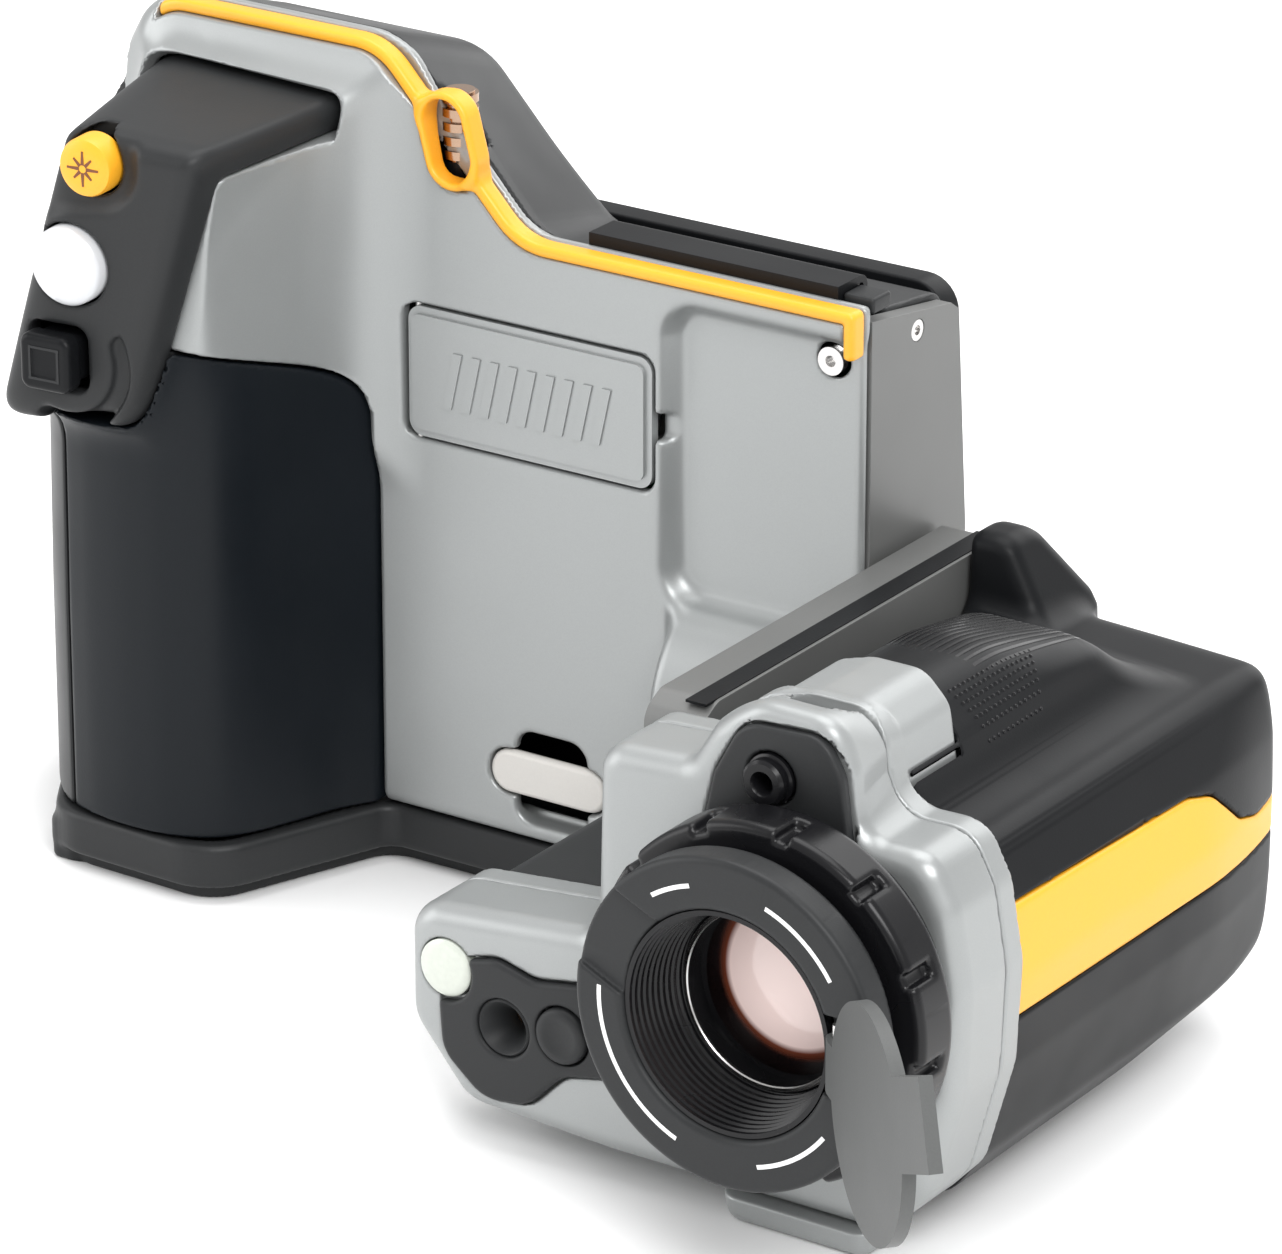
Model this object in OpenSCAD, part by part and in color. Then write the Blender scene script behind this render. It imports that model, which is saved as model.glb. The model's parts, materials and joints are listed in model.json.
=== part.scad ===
// Handheld thermal imaging camera with a tilting lens unit.
// Units are millimetres. The camera stands on Z = 0 and its lens looks along -Y.
// The origin is the mouth of the tripod socket in the underside of the housing.

/* [Housing] */
// Distance from the tripod socket to the housing's right end face
end_x = 40.5; // [38:0.5:46]
// Front face of the housing, in front of the tripod socket
front_y = -14; // [-16:0.5:-13]
// Plane where the front and rear shells meet
split_y = -9.6; // [-10.5:0.1:-9]
// Rear face of the housing's flat part
back_y = 14; // [13:0.5:16]
// Height of the base cover, where the shells start
skirt_z = 9.2; // [8:0.1:10]
// Height of the top face above the display
top_z = 98.8; // [97:0.1:100]
// Height of the hand-side head
head_z = 123.2; // [121:0.1:126]
// Left extent of the grip
grip_x = -100.5; // [-104:0.5:-98]
// Front of the grip
grip_front_y = -41.8; // [-44:0.2:-40]
// Shell wall thickness
wall = 2; // [1.8:0.1:2.4]
// Height of the battery door's top edge, at the housing's front face
door_top_z = 74.3; // [73:0.1:76]

/* [Display] */
// Width of the display window
lcd_w = 71; // [66:0.5:73]
// Height of the display window
lcd_h = 53; // [48:0.5:55]
// Centre of the display across the housing
lcd_x = -1; // [-2:0.5:0]
// Centre height of the display, above the base
lcd_z = 57; // [55:0.5:59]

/* [Lens unit] */
// Height of the tilt axis
tilt_z = 35; // [34:0.5:36]
// Tilt axis behind the tripod socket's plane
tilt_y = -2; // [-3:0.5:-1]
// Radius of the drum around the tilt axis
drum_r = 19.5; // [18:0.5:20]
// Radius of the tilt shaft
shaft_r = 9; // [8:0.5:10]
// Lens axis across the camera
lens_x = 76.5; // [75:0.5:78]
// Lens axis height
lens_z = 37.8; // [37:0.1:39]
// Left face of the lens unit beside the housing
unit_x = 41.7; // [41.5:0.1:42.5]
// Front face of the lens unit's front cover
unit_front_y = -81; // [-83:0.5:-80]
// Seam between the front cover and the collar behind it
unit_seam_y = -70; // [-71:0.5:-68]
// Rear face of the lens unit
unit_rear_y = 11; // [9:0.5:13]
// Top of the lens unit's shell
unit_top_z = 56.8; // [56:0.2:59]
// Underside of the lens unit's shell
unit_bottom_z = 3.5; // [3:0.5:5]
// Where the lens unit's shell starts to taper towards its rear face
taper_y = -9; // [-14:0.5:-6]

/* [Lens] */
// Front plane of the bayonet ring
ring_front_y = -100; // [-101:0.5:-98]
// Outer radius of the bayonet ring
ring_r = 22.4; // [21:0.1:23]
// Inner radius of the bayonet ring
ring_bore_r = 15.5; // [15:0.1:16]
// Outer radius of the focus ring
focus_r = 24; // [23.5:0.1:24.5]
// Radius of the front lens element
objective_r = 11.9; // [11:0.1:12.5]
// Radius of the lens cap
cap_r = 15; // [14.5:0.1:15]
// Thickness of the lens cap
cap_t = 1.8; // [1.4:0.1:2]
// Angle at which the lens cap stands open
cap_open = 139; // [100:1:145]

/* [Controls] */
// Radius of the laser button
laser_button_r = 4.2; // [4:0.1:5]
// Radius of the save button
save_button_r = 5.7; // [5:0.1:6.5]
// Side of the square zoom key
zoom_key_w = 9.6; // [9:0.1:10.5]
// Radius of the lens release button
release_r = 3.9; // [3.5:0.1:4.2]
// Radius of the stylus
stylus_r = 2.2; // [2:0.1:2.4]
// Length of the stylus pen without its ribbed end
stylus_len = 88; // [70:1:90]

/* [Hidden] */

$fn = 64;
// Overshoot that makes cuts pass clean through a face
eps = 0.5;
// Gap between a cover and the shell around it
seam = 0.3;
// Slope of the head's top towards the rear
head_slope = 18;
// Facets for the round ends that hull() joins
hull_fn = 20;
// Height of the accent strip on the front corner of the top
strip_h = 1.9;
// Depth of the accent strip
strip_d = 3;

// Outline of the housing from the front: x, z, corner radius
HOUSING = [
    [end_x, skirt_z, 0], [end_x, top_z, 1], [-13.5, top_z, 9], [-36.5, head_z, 10], [-75, head_z, 9],
    [-94, 94, 20], [grip_x, 50, 20], [-98, skirt_z, 0]
];
// Outline of the grip from above: x, y, corner radius
GRIP = [
    [-38, back_y, 0], [-38, front_y, 0], [-39.8, front_y, 2], [-48, grip_front_y, 9.5],
    [-76.5, grip_front_y + 0.8, 9], [grip_x - 0.5, -3, 11], [-97.5, back_y, 10]
];
// Outline of the whole base from above
BASE = [
    [end_x, back_y, 1], [end_x, front_y + 1, 1], [-37, front_y + 0.5, 3], [-48, grip_front_y, 9.5],
    [-76.5, grip_front_y + 0.8, 9], [grip_x - 0.5, -3, 11], [-97.5, back_y, 10]
];
// Outline of the lens unit's front cover from the front, with its arm and its laser hump
COVER = [
    [14.2, 32, 4.5], [14.2, 15.5, 5], [23, 5, 5], [46, 3.8, 3], [88, 3.8, 6], [94.6, 11, 5],
    [98.8, 26, 8], [99.5, 40, 8], [97.6, 51, 6], [94, 57.8, 4.5], [84, 57.6, 2.5], [83.4, 66, 4],
    [80.4, 74.6, 4.5], [68.5, 74.8, 6], [61.5, 68, 4], [58, 62.3, 2], [44.2, 61.5, 3.5], [43.6, 34.8, 3]
];
// Outline of the lens unit's black shell from the front
SHELL = [
    [51.4, unit_top_z, 3], [51.4, unit_bottom_z, 3], [88.5, unit_bottom_z, 6], [93.8, 10.5, 5],
    [97.4, 24, 8], [98.4, 36, 8], [96.6, 45, 6], [92.4, 53.4, 5]
];
// Outline of the silver hump behind the front cover, and its height
HUMP = [
    [58.6, 54, 0], [59.4, 62.5, 2], [64, 68.8, 4], [69.5, 70.4, 5], [78, 70.2, 4.5], [82, 64, 5],
    [82.4, 54, 0]
];
hump_z = 70.4;
// Fall of the hump's top from the cover's front face to the seam
hump_fall = 22;
// Outline of the lens unit's black shell from the side (y, z) and from above (x, y)
SHELL_SIDE = [
    [unit_seam_y - 10, 0, 0], [taper_y - 20, 0, 30], [unit_rear_y, 13, 6],
    [unit_rear_y, unit_top_z - 1.5, 7], [taper_y, unit_top_z + 1, 12], [unit_seam_y - 10, unit_top_z + 1, 0]
];
SHELL_PLAN = [
    [48, unit_seam_y - 10, 0], [101, unit_seam_y - 10, 0], [101, taper_y - 6, 25],
    [93.5, unit_rear_y, 6], [48, unit_rear_y, 0]
];
// Raised block behind the side plate, from the front and from the side
RIDGE = [[50.8, 54.2, 0], [50.8, 66.4, 2], [57, 66.4, 4], [64, 55, 0], [64, 54.2, 0]];
RIDGE_SIDE = [[-3, 50, 0], [-1.4, 67, 3], [6, 67, 5], [13, 56, 0], [13, 50, 0]];
// Bump behind the laser, from the front and from the side
BUMP = [[54.5, 54.8, 0], [58, 60, 6], [66, 70, 9], [76, 69.6, 7], [81.8, 62, 6], [84.5, 52.6, 0]];
BUMP_SIDE = [[-53.8, 50, 0], [-53.8, 70.2, 2], [-38, 68.4, 20], [-18, 63, 9], [-8, 55, 0], [-8, 50, 0]];
// Outlines of the two dark panels on the lens unit's front: arm and laser
ARM_PANEL = [
    [19.9, 20.6, 3], [20.4, 12.5, 5], [27, 7, 6], [34, 8, 5], [39.5, 13.6, 5], [48, 15.4, 4],
    [48, 27.5, 3], [42, 27.2, 5], [35, 26, 5], [29, 27.6, 4], [24, 26.4, 3]
];
LASER_PANEL = [[60, 54, 1], [84, 54, 1], [82, 66, 5], [79.2, 70.8, 4.5], [67, 70.2, 5], [62.8, 62.5, 4]];
// Centres of the rounded corners of the hand-side nose, and their radius
NOSE = [
    [-70.5, -12, 111.8], [-45.5, -13.5, 111.4], [-48.6, -41.5, 109.8], [-64.3, -43.4, 110.6],
    [-74.2, -43.4, 74.6], [-60, -42.2, 74.8], [-55, -13, 80], [-83, -13, 76]
];
nose_r = 4.6;
// Centres of the rounded corners of the nose's silver side, and their radius
CHEEK = [
    [-48.3, -39.4, 109], [-41.5, -12, 112], [-58, -38.3, 70], [-51.2, -36, 70], [-44.4, -19.5, 70],
    [-42, -11, 70], [-66, -11, 70], [-62, -11, 112]
];
cheek_r = 3;
// Plane that parts the nose's dark cover from its silver side: a point on it, its lean and its turn
cheek_at = [-45.5, -42, 110.7];
cheek_lean = 18;
cheek_turn = -8;
// Slope of the battery door's top edge, which rises towards its front
door_slant = 17;
// Turn and lean of the nose's button face
nose_turn = -5;
nose_lean = 0;
// Middle of the front of the nose, at each button's height
LASER_AT = [-61.8, -47.6, 109.5];
SAVE_AT = [-65.8, -47.7, 94.5];
ZOOM_AT = [-68.3, -47.8, 80.6];
// Oval housing of the stylus end: x, z of its two centres
STYLUS_OVAL = [[-24.6, 108.2], [-26, 113.4]];
stylus_x = -27;
stylus_y = -8.8;
stylus_top_z = 116.6;
stylus_cap_h = 10;
stylus_seat_z = 16.8;
// Laser window above the lens
laser_x = 71.5;
laser_z = 63.6;
// Lamp, visual camera and release button on the arm
lamp_x = 20.7;
lamp_z = 24.2;
eye_x = 30.2;
eye_z = 18.2;
release_x = 39.6;
release_z = 19.6;
// Battery door's skin and right edge, and the battery bay behind it
door_t = 2.4;
door_x = -38;
bay_x0 = -73;
bay_x1 = -50.5;
// Left edge and lower edge of the recess that the arm swings into
scoop_x = 10;
scoop_z = 51;
// Left face of the drum round the tilt axis, and the radius of the bearing's seat
drum_x = 11.8;
bearing_r = 12;
// Radius of the hinge pins and of their bores
pin_r = 0.6;
pin_bore_r = 0.65;
// Connector door
door_x0 = -33.2;
door_x1 = 8.3;
door_z0 = 66.4;
door_z1 = 86.1;
door_pin_x = door_x0 + 1.9;
door_pin_y = front_y + 1.2;
// Screw in the recess
screw_x = 35.2;
screw_z = 90.4;
// Card cover on top of the housing
card_x0 = -5;
card_x1 = 35.8;
card_y0 = -10.6;
card_y1 = -2.6;
card_pin_y = card_y1 - 2;
card_pin_z = top_z + 0.1;
// Hinge of the lens cap
cap_pin_x = lens_x + 17.3;
cap_pin_y = ring_front_y - 0.9;
// Angle of the finger tab on the lens cap, above the horizontal
cap_tab_a = 25;

// Centres of the rear keys: menu, mode, record, power
KEYS = [[-74, 83], [-58, 83], [-74, 72], [-58, 72]];
// Lower and upper heights of the yellow stripe along the right side
stripe_z0 = 31.2;
stripe_z1 = 45.6;

silver = "#cdd0cb";
mid_grey = "#8f9290";
charcoal = "#46494a";
black = "#232629";
accent = "#fac846";
steel = "#b9bcbe";
bronze = "#b58a5a";

// One rounded corner i of outline p, as points on its arc
function corner(p, i) =
    let(
        n = len(p),
        b = [p[i][0], p[i][1]],
        before = p[(i + n - 1) % n],
        after = p[(i + 1) % n],
        u0 = [before[0], before[1]] - b,
        v0 = [after[0], after[1]] - b,
        u = u0 / norm(u0),
        v = v0 / norm(v0),
        r = p[i][2],
        half = acos(u * v) / 2,
        centre = b + (u + v) / norm(u + v) * r / sin(half),
        s = b + u * r / tan(half) - centre,
        e = b + v * r / tan(half) - centre,
        a0 = atan2(s[1], s[0]),
        turn = atan2(e[1], e[0]) - a0,
        sweep = turn > 180 ? turn - 360 : turn < -180 ? turn + 360 : turn,
        steps = max(2, ceil(abs(sweep) / 12))
    )
    r == 0 ? [b] : [
        for (j = [0:steps])
            let(a = a0 + sweep * j / steps)
            centre + r * [cos(a), sin(a)]
    ];

function rounded(p) = [for (i = [0:len(p) - 1]) each corner(p, i)];

// Extrudes a front-view outline (x, z) from y0 back to y1
module along_y(y0, y1) {
    translate([0, y1, 0]) rotate([90, 0, 0]) linear_extrude(y1 - y0) children();
}

// Extrudes a side-view outline (y, z) from x0 to x1
module along_x(x0, x1) {
    translate([x0, 0, 0]) rotate([90, 0, 90]) linear_extrude(x1 - x0) children();
}

module round_rect(x0, z0, x1, z1, r) {
    polygon(rounded([[x0, z0, r], [x1, z0, r], [x1, z1, r], [x0, z1, r]]));
}

module rod_y(x, z, r, y0, y1) {
    translate([x, y1, z]) rotate([90, 0, 0]) cylinder(h = y1 - y0, r = r);
}

module rod_x(y, z, r, x0, x1) {
    translate([x0, y, z]) rotate([0, 90, 0]) cylinder(h = x1 - x0, r = r);
}

module ring_y(x, z, r_out, r_in, y0, y1) {
    difference() {
        rod_y(x, z, r_out, y0, y1);
        rod_y(x, z, r_in, y0 - eps, y1 + eps);
    }
}

// Places children on the nose's button face, with +Z pointing out of it
module on_nose(at) {
    translate(at) rotate([0, 0, -nose_turn]) rotate([90 - nose_lean, 0, 0]) children();
}

module nose_solid(grow = 0) {
    hull() for (p = NOSE) translate(p) sphere(r = nose_r + grow, $fn = hull_fn);
}

module housing_outline() {
    polygon(rounded(HOUSING));
}

module grip_plan() {
    polygon(rounded(GRIP));
}

module base_plan() {
    polygon(rounded(BASE));
}

// Outline of the part of the top edge that the accent strip follows
module strip_zone() {
    polygon([[end_x + 1, 90], [end_x + 1, 130], [-74, 130], [-74, 112], [-40, 112], [-20, 90]]);
}

module stylus_oval(r) {
    hull() for (p = STYLUS_OVAL) translate(p) circle(r = r, $fn = 32);
}

// Everything to the right of the plane where the nose's dark cover ends
module cheek_side() {
    translate(cheek_at) rotate([0, cheek_lean, cheek_turn]) translate([0, -60, -60]) cube([60, 120, 120]);
}

// Solid silver side of the nose, which sweeps back into the front face
module nose_cheek() {
    hull() for (p = CHEEK) translate(p) sphere(r = cheek_r, $fn = hull_fn);
}

// Everything above the slanted top edge of the battery door
module above_door(grow = 0) {
    translate([-140, front_y, door_top_z - grow]) rotate([-door_slant, 0, 0]) translate([0, -80, 0])
        cube([140 + door_x + 20, 120, 80]);
}

module front_shell() {
    color(silver)
    difference() {
        union() {
            along_y(front_y, split_y) housing_outline();
            nose_cheek();
            rod_x(tilt_y, tilt_z, drum_r, drum_x, end_x);
        }
        // the accent strip's corner and the stylus's oval seat
        along_y(front_y - eps, front_y + strip_d) intersection() {
            difference() {
                housing_outline();
                offset(delta = -strip_h) housing_outline();
            }
            strip_zone();
        }
        along_y(front_y - eps, front_y + strip_d) stylus_oval(4.7);
        translate([stylus_x, stylus_y, stylus_seat_z]) cylinder(h = 120, r = 3.5);
        // hand side below the nose
        difference() {
            translate([-130, -60, 0]) cube([130 + door_x, 60, 120]);
            above_door();
        }
        difference() {
            nose_solid(0.05);
            cheek_side();
        }
        // recess that the arm swings into
        along_y(front_y - eps, front_y + 3) round_rect(scoop_x, scoop_z, end_x + 6, top_z - 4.8, 5);
        // everything behind the parting plane
        translate([-120, split_y, 0]) cube([220, 40, 160]);
        // hollow inside
        difference() {
            along_y(front_y + wall, split_y + eps) intersection() {
                offset(delta = -wall - 1.2) housing_outline();
                translate([-37, skirt_z + wall]) square([end_x + 37 - wall, 120]);
            }
            along_y(front_y, split_y + 1) round_rect(scoop_x - 2, scoop_z - 2, end_x + 6, top_z - 3, 5);
        }
        rod_x(tilt_y, tilt_z, drum_r - wall, drum_x + wall, end_x - wall);
        rod_x(tilt_y, tilt_z, bearing_r, end_x - 3, end_x + eps);
        // opening for the memory card
        translate([card_x0, card_y0, 80]) cube([card_x1 - card_x0, 5, 40]);
        // connector bay with a nail notch
        along_y(front_y - eps, split_y + eps) round_rect(door_x0, door_z0, door_x1, door_z1, 2.5);
        rod_y(door_x1 + 1.2, 76, 1.9, front_y - eps, front_y + 2.6);
        // strap recess and the pocket for its bar
        along_y(front_y - eps, split_y + eps) round_rect(-15, 12, -3, 26, 3);
        along_y(front_y - eps, front_y + 2) round_rect(-19.6, 15.7, 0.6, 22.8, 3.5);
        rod_y(screw_x, screw_z, 2.2, front_y - eps, front_y + 3.9);
        rod_y(screw_x, screw_z, 1.2, front_y - eps, split_y + eps);
        rod_z(door_pin_x, door_pin_y, 0.62, door_z0 - 1.8, door_z1 + 1.8);
    }
}

// The rear shell's outer form, or with an inset its hollow
module rear_form(inset) {
    difference() {
        intersection() {
            along_y(split_y - inset, back_y - inset) offset(delta = -inset) housing_outline();
            linear_extrude(140) offset(delta = -inset) base_plan();
        }
        // the head and the top slope down rearwards
        translate([-120, split_y, head_z - inset]) rotate([-head_slope, 0, 0]) translate([0, -5, 0])
            cube([90, 65, 30]);
        translate([-13.5, split_y, top_z - 1.4 * inset]) rotate([0, 46.7, 0]) rotate([-head_slope, 0, 0])
            translate([-60, -5, 0]) cube([60, 65, 30]);
        translate([-20, card_y1, top_z - 2.2 - inset]) rotate([-8, 0, 0]) translate([0, -5, 0])
            cube([70, 45, 20]);
    }
}

module rear_shell() {
    color(charcoal)
    difference() {
        rear_form(0);
        // end face and the lens unit's side
        translate([end_x - 2.5, split_y - eps, 0]) cube([10, 40, 140]);
        rear_form(wall);
        // display opening
        along_y(0, back_y + eps) round_rect(lcd_x - 36.5, lcd_z - 27.5, lcd_x + 36.5, lcd_z + 27.5, 1);
        // keypad opening on the hand side
        along_y(0, back_y + eps) round_rect(-90, 63, -46, 112, 6);
        // card slot opening in the top
        translate([card_x0, card_y0, 80]) cube([end_x - card_x0, card_y1 - card_y0, 40]);
        translate([stylus_x, stylus_y, stylus_seat_z]) cylinder(h = 120, r = 3.5);
        rod_x(card_pin_y, card_pin_z, 0.62, card_x0 - 1.4, end_x);
        // seat of the display's bezel
        translate([lcd_x - 39.4, back_y - 1.4, lcd_z - 37.4]) cube([80, 10, 78.8]);
    }
}

module end_plate() {
    color(mid_grey)
    difference() {
        along_x(end_x - 2.5, end_x) polygon([
            [split_y, skirt_z], [split_y, top_z - 2.4], [10.6, top_z - 5.6], [12.6, top_z - 7],
            [15.2, 60], [15.2, skirt_z]
        ]);
        rod_x(tilt_y, tilt_z, bearing_r, end_x - 5, end_x + eps);
        rod_x(2, top_z - 7, 1.6, end_x - 3, end_x + eps);
    }
}

module accent_strip() {
    color(accent)
    difference() {
        union() {
            along_y(front_y, front_y + strip_d) intersection() {
                difference() {
                    housing_outline();
                    offset(delta = 0.1 - strip_h) housing_outline();
                }
                strip_zone();
            }
            along_y(front_y - 0.4, front_y + strip_d) stylus_oval(4.6);
        }
        translate([stylus_x, stylus_y, 20]) cylinder(h = 120, r = 3.1);
        along_y(front_y - 2, split_y) stylus_oval(3.2);
    }
}

module head_cover() {
    color(charcoal)
    difference() {
        nose_solid();
        // hollow inside, open at the back
        nose_solid(-wall - 0.8);
        translate([-100, split_y - 1.4, 40]) cube([90, 40, 100]);
        cheek_side();
        on_nose(LASER_AT) translate([0, 0, -8]) cylinder(h = 12, r = laser_button_r + seam);
        on_nose(SAVE_AT) translate([0, 0, -8]) cylinder(h = 12, r = save_button_r + seam);
        on_nose(ZOOM_AT) translate([0, 0, -2]) cube([zoom_key_w + 1, zoom_key_w + 1, 12], center = true);
    }
}

module grip_shell() {
    color(charcoal)
    difference() {
        intersection() {
            translate([0, 0, skirt_z]) linear_extrude(68.4 - skirt_z) difference() {
                grip_plan();
                // room for the battery door's skin
                difference() {
                    translate([-74.1, -60]) square([60, 60 + split_y + eps]);
                    offset(delta = -door_t - seam) grip_plan();
                }
            }
            translate([-120, -60, 0]) cube([120 + door_x, 60 + split_y, 160]);
        }
        // battery bay, open to the front
        translate([bay_x0, -60, skirt_z + 2]) cube([bay_x1 - bay_x0, 60, 57.4]);
        // hollows on both sides of the bay
        translate([bay_x1 + wall, -60, skirt_z + 2]) cube([20, 60, 53]);
        translate([-91, -22, skirt_z + 2]) cube([bay_x0 - wall + 91, 30, 53]);
    }
}

module base_cover() {
    color(charcoal)
    difference() {
        union() {
            translate([0, 0, 2.6]) linear_extrude(skirt_z - 3) base_plan();
            linear_extrude(2.7) offset(delta = -2.4) base_plan();
            // lug for a wrist strap at the foot of the grip
            translate([-76.4, -37.2, 0]) cylinder(h = 6, r = 2);
            translate([-78.4, -37.2, 0]) cube([4, 8, 4]);
        }
        // hollow inside
        translate([0, 0, wall + 1]) linear_extrude(12) offset(delta = -wall - 0.6) base_plan();
        translate([0, 0, -1]) cylinder(h = 20, r = 6);
    }
}

module lcd_bezel() {
    color(black)
    difference() {
        along_y(back_y - 1.3, back_y + 3) round_rect(lcd_x - 39.2, lcd_z - 37, lcd_x + 39, lcd_z + 37.5, 5);
        along_y(0, back_y + 5) round_rect(lcd_x - lcd_w / 2 - 1.5, lcd_z - lcd_h / 2 - 1.5,
                                         lcd_x + lcd_w / 2 + 1.5, lcd_z + lcd_h / 2 + 1.5, 2);
    }
}

module lcd_glass() {
    color("#1c2730")
    along_y(back_y + 0.9, back_y + 2.2) round_rect(lcd_x - lcd_w / 2 - 1.3, lcd_z - lcd_h / 2 - 1.3,
                                              lcd_x + lcd_w / 2 + 1.3, lcd_z + lcd_h / 2 + 1.3, 1.5);
}

module lcd_module() {
    color(steel)
    translate([lcd_x - 36, back_y - 4.5, lcd_z - 27]) cube([72, 5.2, 54]);
}

module main_board() {
    color("#2f6b45")
    difference() {
        along_y(3.6, 5.2) polygon(rounded([
            [29, 24, 1], [29, 51, 1], [34, 55, 1], [34, 92, 1], [-39.5, 92, 1], [-39.5, 24, 1]
        ]));
        for (x = [-36, 25]) for (z = [28, 89]) rod_y(x, z, 1.2, 3, 6);
    }
}

module connector_board() {
    color(steel)
    union() {
        translate([door_x0 + 2, -3.4, door_z0 + 1]) cube([door_x1 - door_x0 - 4, 1.6, 17]);
        // two data ports, a video port and the power inlet
        translate([door_x0 + 11.5, -8, door_z0 + 6]) cube([9, 5, 4]);
        translate([door_x0 + 22, -8, door_z0 + 5]) cube([7, 5, 6]);
        rod_y(door_x0 + 32.8, door_z0 + 8, 2.8, -8, -3);
        rod_y(door_x0 + 38, door_z0 + 8, 2.1, -8, -3);
    }
}

module memory_card() {
    color("#2b2e33")
    translate([9, -7.4, 70]) cube([24, 2.1, 26]);
}

module stylus_tube() {
    color(black)
    translate([stylus_x, stylus_y, 17]) difference() {
        cylinder(h = 84.4, r = 3.3);
        translate([0, 0, 1.5]) cylinder(h = 90, r = stylus_r + 0.35);
    }
}

module strap_bar() {
    color("#dcdcd8")
    along_y(front_y, front_y + 1.9) round_rect(-19.3, 16, 0.3, 22.5, 3.2);
}

module battery_pack() {
    color("#2c3034")
    difference() {
        translate([bay_x0 + 0.4, -35.6, skirt_z + 2.3]) cube([bay_x1 - bay_x0 - 0.8, 43, 56]);
        // contact slots in its top
        for (x = [-68, -62, -56]) translate([x, 0, skirt_z + 55]) cube([3, 5, 10]);
    }
}

module tripod_bush() {
    color("#b08a4a")
    difference() {
        union() {
            cylinder(h = 9, r = 5.95);
            translate([0, 0, 6.6]) cylinder(h = 2.4, r = 9);
        }
        translate([0, 0, -1]) cylinder(h = 9, r = 2.55);
    }
}

module screw_y(x, y, z, r) {
    difference() {
        union() {
            rod_y(x, z, r, y, y + 1.4);
            rod_y(x, z, r * 0.55, y + 1.2, y + 4);
        }
        rod_y(x, z, r * 0.4, y - eps, y + 0.9);
    }
}

module housing_screws() {
    color(steel)
    union() {
        screw_y(screw_x, front_y + 2.45, screw_z, 2);
        translate([end_x - 1.6, 2, top_z - 7]) rotate([0, 90, 0]) difference() {
            cylinder(h = 1.5, r = 1.5);
            translate([0, 0, 0.8]) cylinder(h = 1, r = 0.7);
        }
    }
}

module tilt_bearing() {
    color("#3a3a38")
    difference() {
        union() {
            rod_x(tilt_y, tilt_z, bearing_r - 0.05, end_x - 5.2, end_x);
            rod_x(tilt_y, tilt_z, bearing_r + 1, end_x - 5.2, end_x - 2.6);
        }
        rod_x(tilt_y, tilt_z, shaft_r + 0.05, end_x - 7, end_x + 1);
    }
}

module keypad_plate() {
    color(black)
    difference() {
        along_y(back_y - 1.6, back_y + 0.6) round_rect(-89.7, 63.3, -46.3, 111.7, 5.8);
        rod_y(-62, 97, 7.3, 5, 20);
        for (p = KEYS) along_y(5, 20) round_rect(p[0] - 5.3, p[1] - 3.3, p[0] + 5.3, p[1] + 3.3, 2.5);
    }
}

module rear_key(i) {
    p = KEYS[i];
    union() {
        along_y(back_y - 1, back_y + 1.6) round_rect(p[0] - 5, p[1] - 3, p[0] + 5, p[1] + 3, 2.2);
        along_y(back_y - 3, back_y - 1.9) round_rect(p[0] - 5.6, p[1] - 3.6, p[0] + 5.6, p[1] + 3.6, 2.2);
        rod_y(p[0], p[1], 2, back_y - 2, back_y - 0.5);
    }
}

module menu_key() {
    color(charcoal) rear_key(0);
}

module mode_key() {
    color(charcoal) rear_key(1);
}

module record_key() {
    color(charcoal) rear_key(2);
}

module power_key() {
    color("#2f8f57") rear_key(3);
}

module joystick() {
    color(black)
    union() {
        rod_y(-62, 97, 1.8, back_y - 8, back_y + 2);
        translate([-62, back_y + 4.6, 97]) rotate([90, 0, 0]) cylinder(h = 3.4, r1 = 4, r2 = 5);
        translate([-62, back_y - 8, 97]) sphere(r = 2.6);
    }
}

module battery_door() {
    color(black)
    difference() {
        translate([0, 0, skirt_z + seam]) linear_extrude(90 - skirt_z) difference() {
            intersection() {
                grip_plan();
                translate([-73.8, -60]) square([73.8 + door_x - seam, 60 + split_y - seam]);
            }
            offset(delta = -door_t) grip_plan();
        }
        above_door(seam);
        nose_solid(0.5);
        // the part under the nose ends below it
        translate([-76, -60, 67.6]) cube([20, 60, 40]);
    }
}

module rod_z(x, y, r, z0, z1) {
    translate([x, y, z0]) cylinder(h = z1 - z0, r = r);
}

module connector_door() {
    color(silver)
    difference() {
        union() {
            along_y(front_y + 0.2, front_y + 1.7) round_rect(door_x0 + 0.6, door_z0 + seam,
                                                        door_x1 - seam, door_z1 - seam, 2.2);
            along_y(front_y - 0.3, front_y + 1) round_rect(door_x0 + 1.4, door_z0 + 1.4,
                                                      door_x1 - 1.4, door_z1 - 1.4, 1.4);
            rod_z(door_pin_x, door_pin_y, 1.15, door_z0 + 3, door_z1 - 3);
        }
        rod_z(door_pin_x, door_pin_y, pin_bore_r, door_z0, door_z1);
    }
}

module connector_door_pin() {
    color(steel) rod_z(door_pin_x, door_pin_y, pin_r, door_z0 - 1.6, door_z1 + 1.6);
}

module card_cover() {
    color(black)
    difference() {
        union() {
            translate([card_x0 + seam, card_y0 + seam, top_z - 1.6])
                cube([card_x1 - card_x0 - 2 * seam, card_pin_y - card_y0 - seam, 3.4]);
            rod_x(card_pin_y, card_pin_z, 1.7, card_x0 + seam, card_x1 - seam);
        }
        rod_x(card_pin_y, card_pin_z, pin_bore_r, card_x0 - 1, card_x1 + 1);
    }
}

module card_cover_tab() {
    color(charcoal)
    translate([card_x1 - seam, card_y0 + 1.4, top_z - 1.6]) cube([4.9, card_pin_y - card_y0 - 1.4, 2.3]);
}

module card_cover_pin() {
    color(steel) rod_x(card_pin_y, card_pin_z, pin_r, card_x0 - 1.2, card_x1 - 0.8);
}

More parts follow.
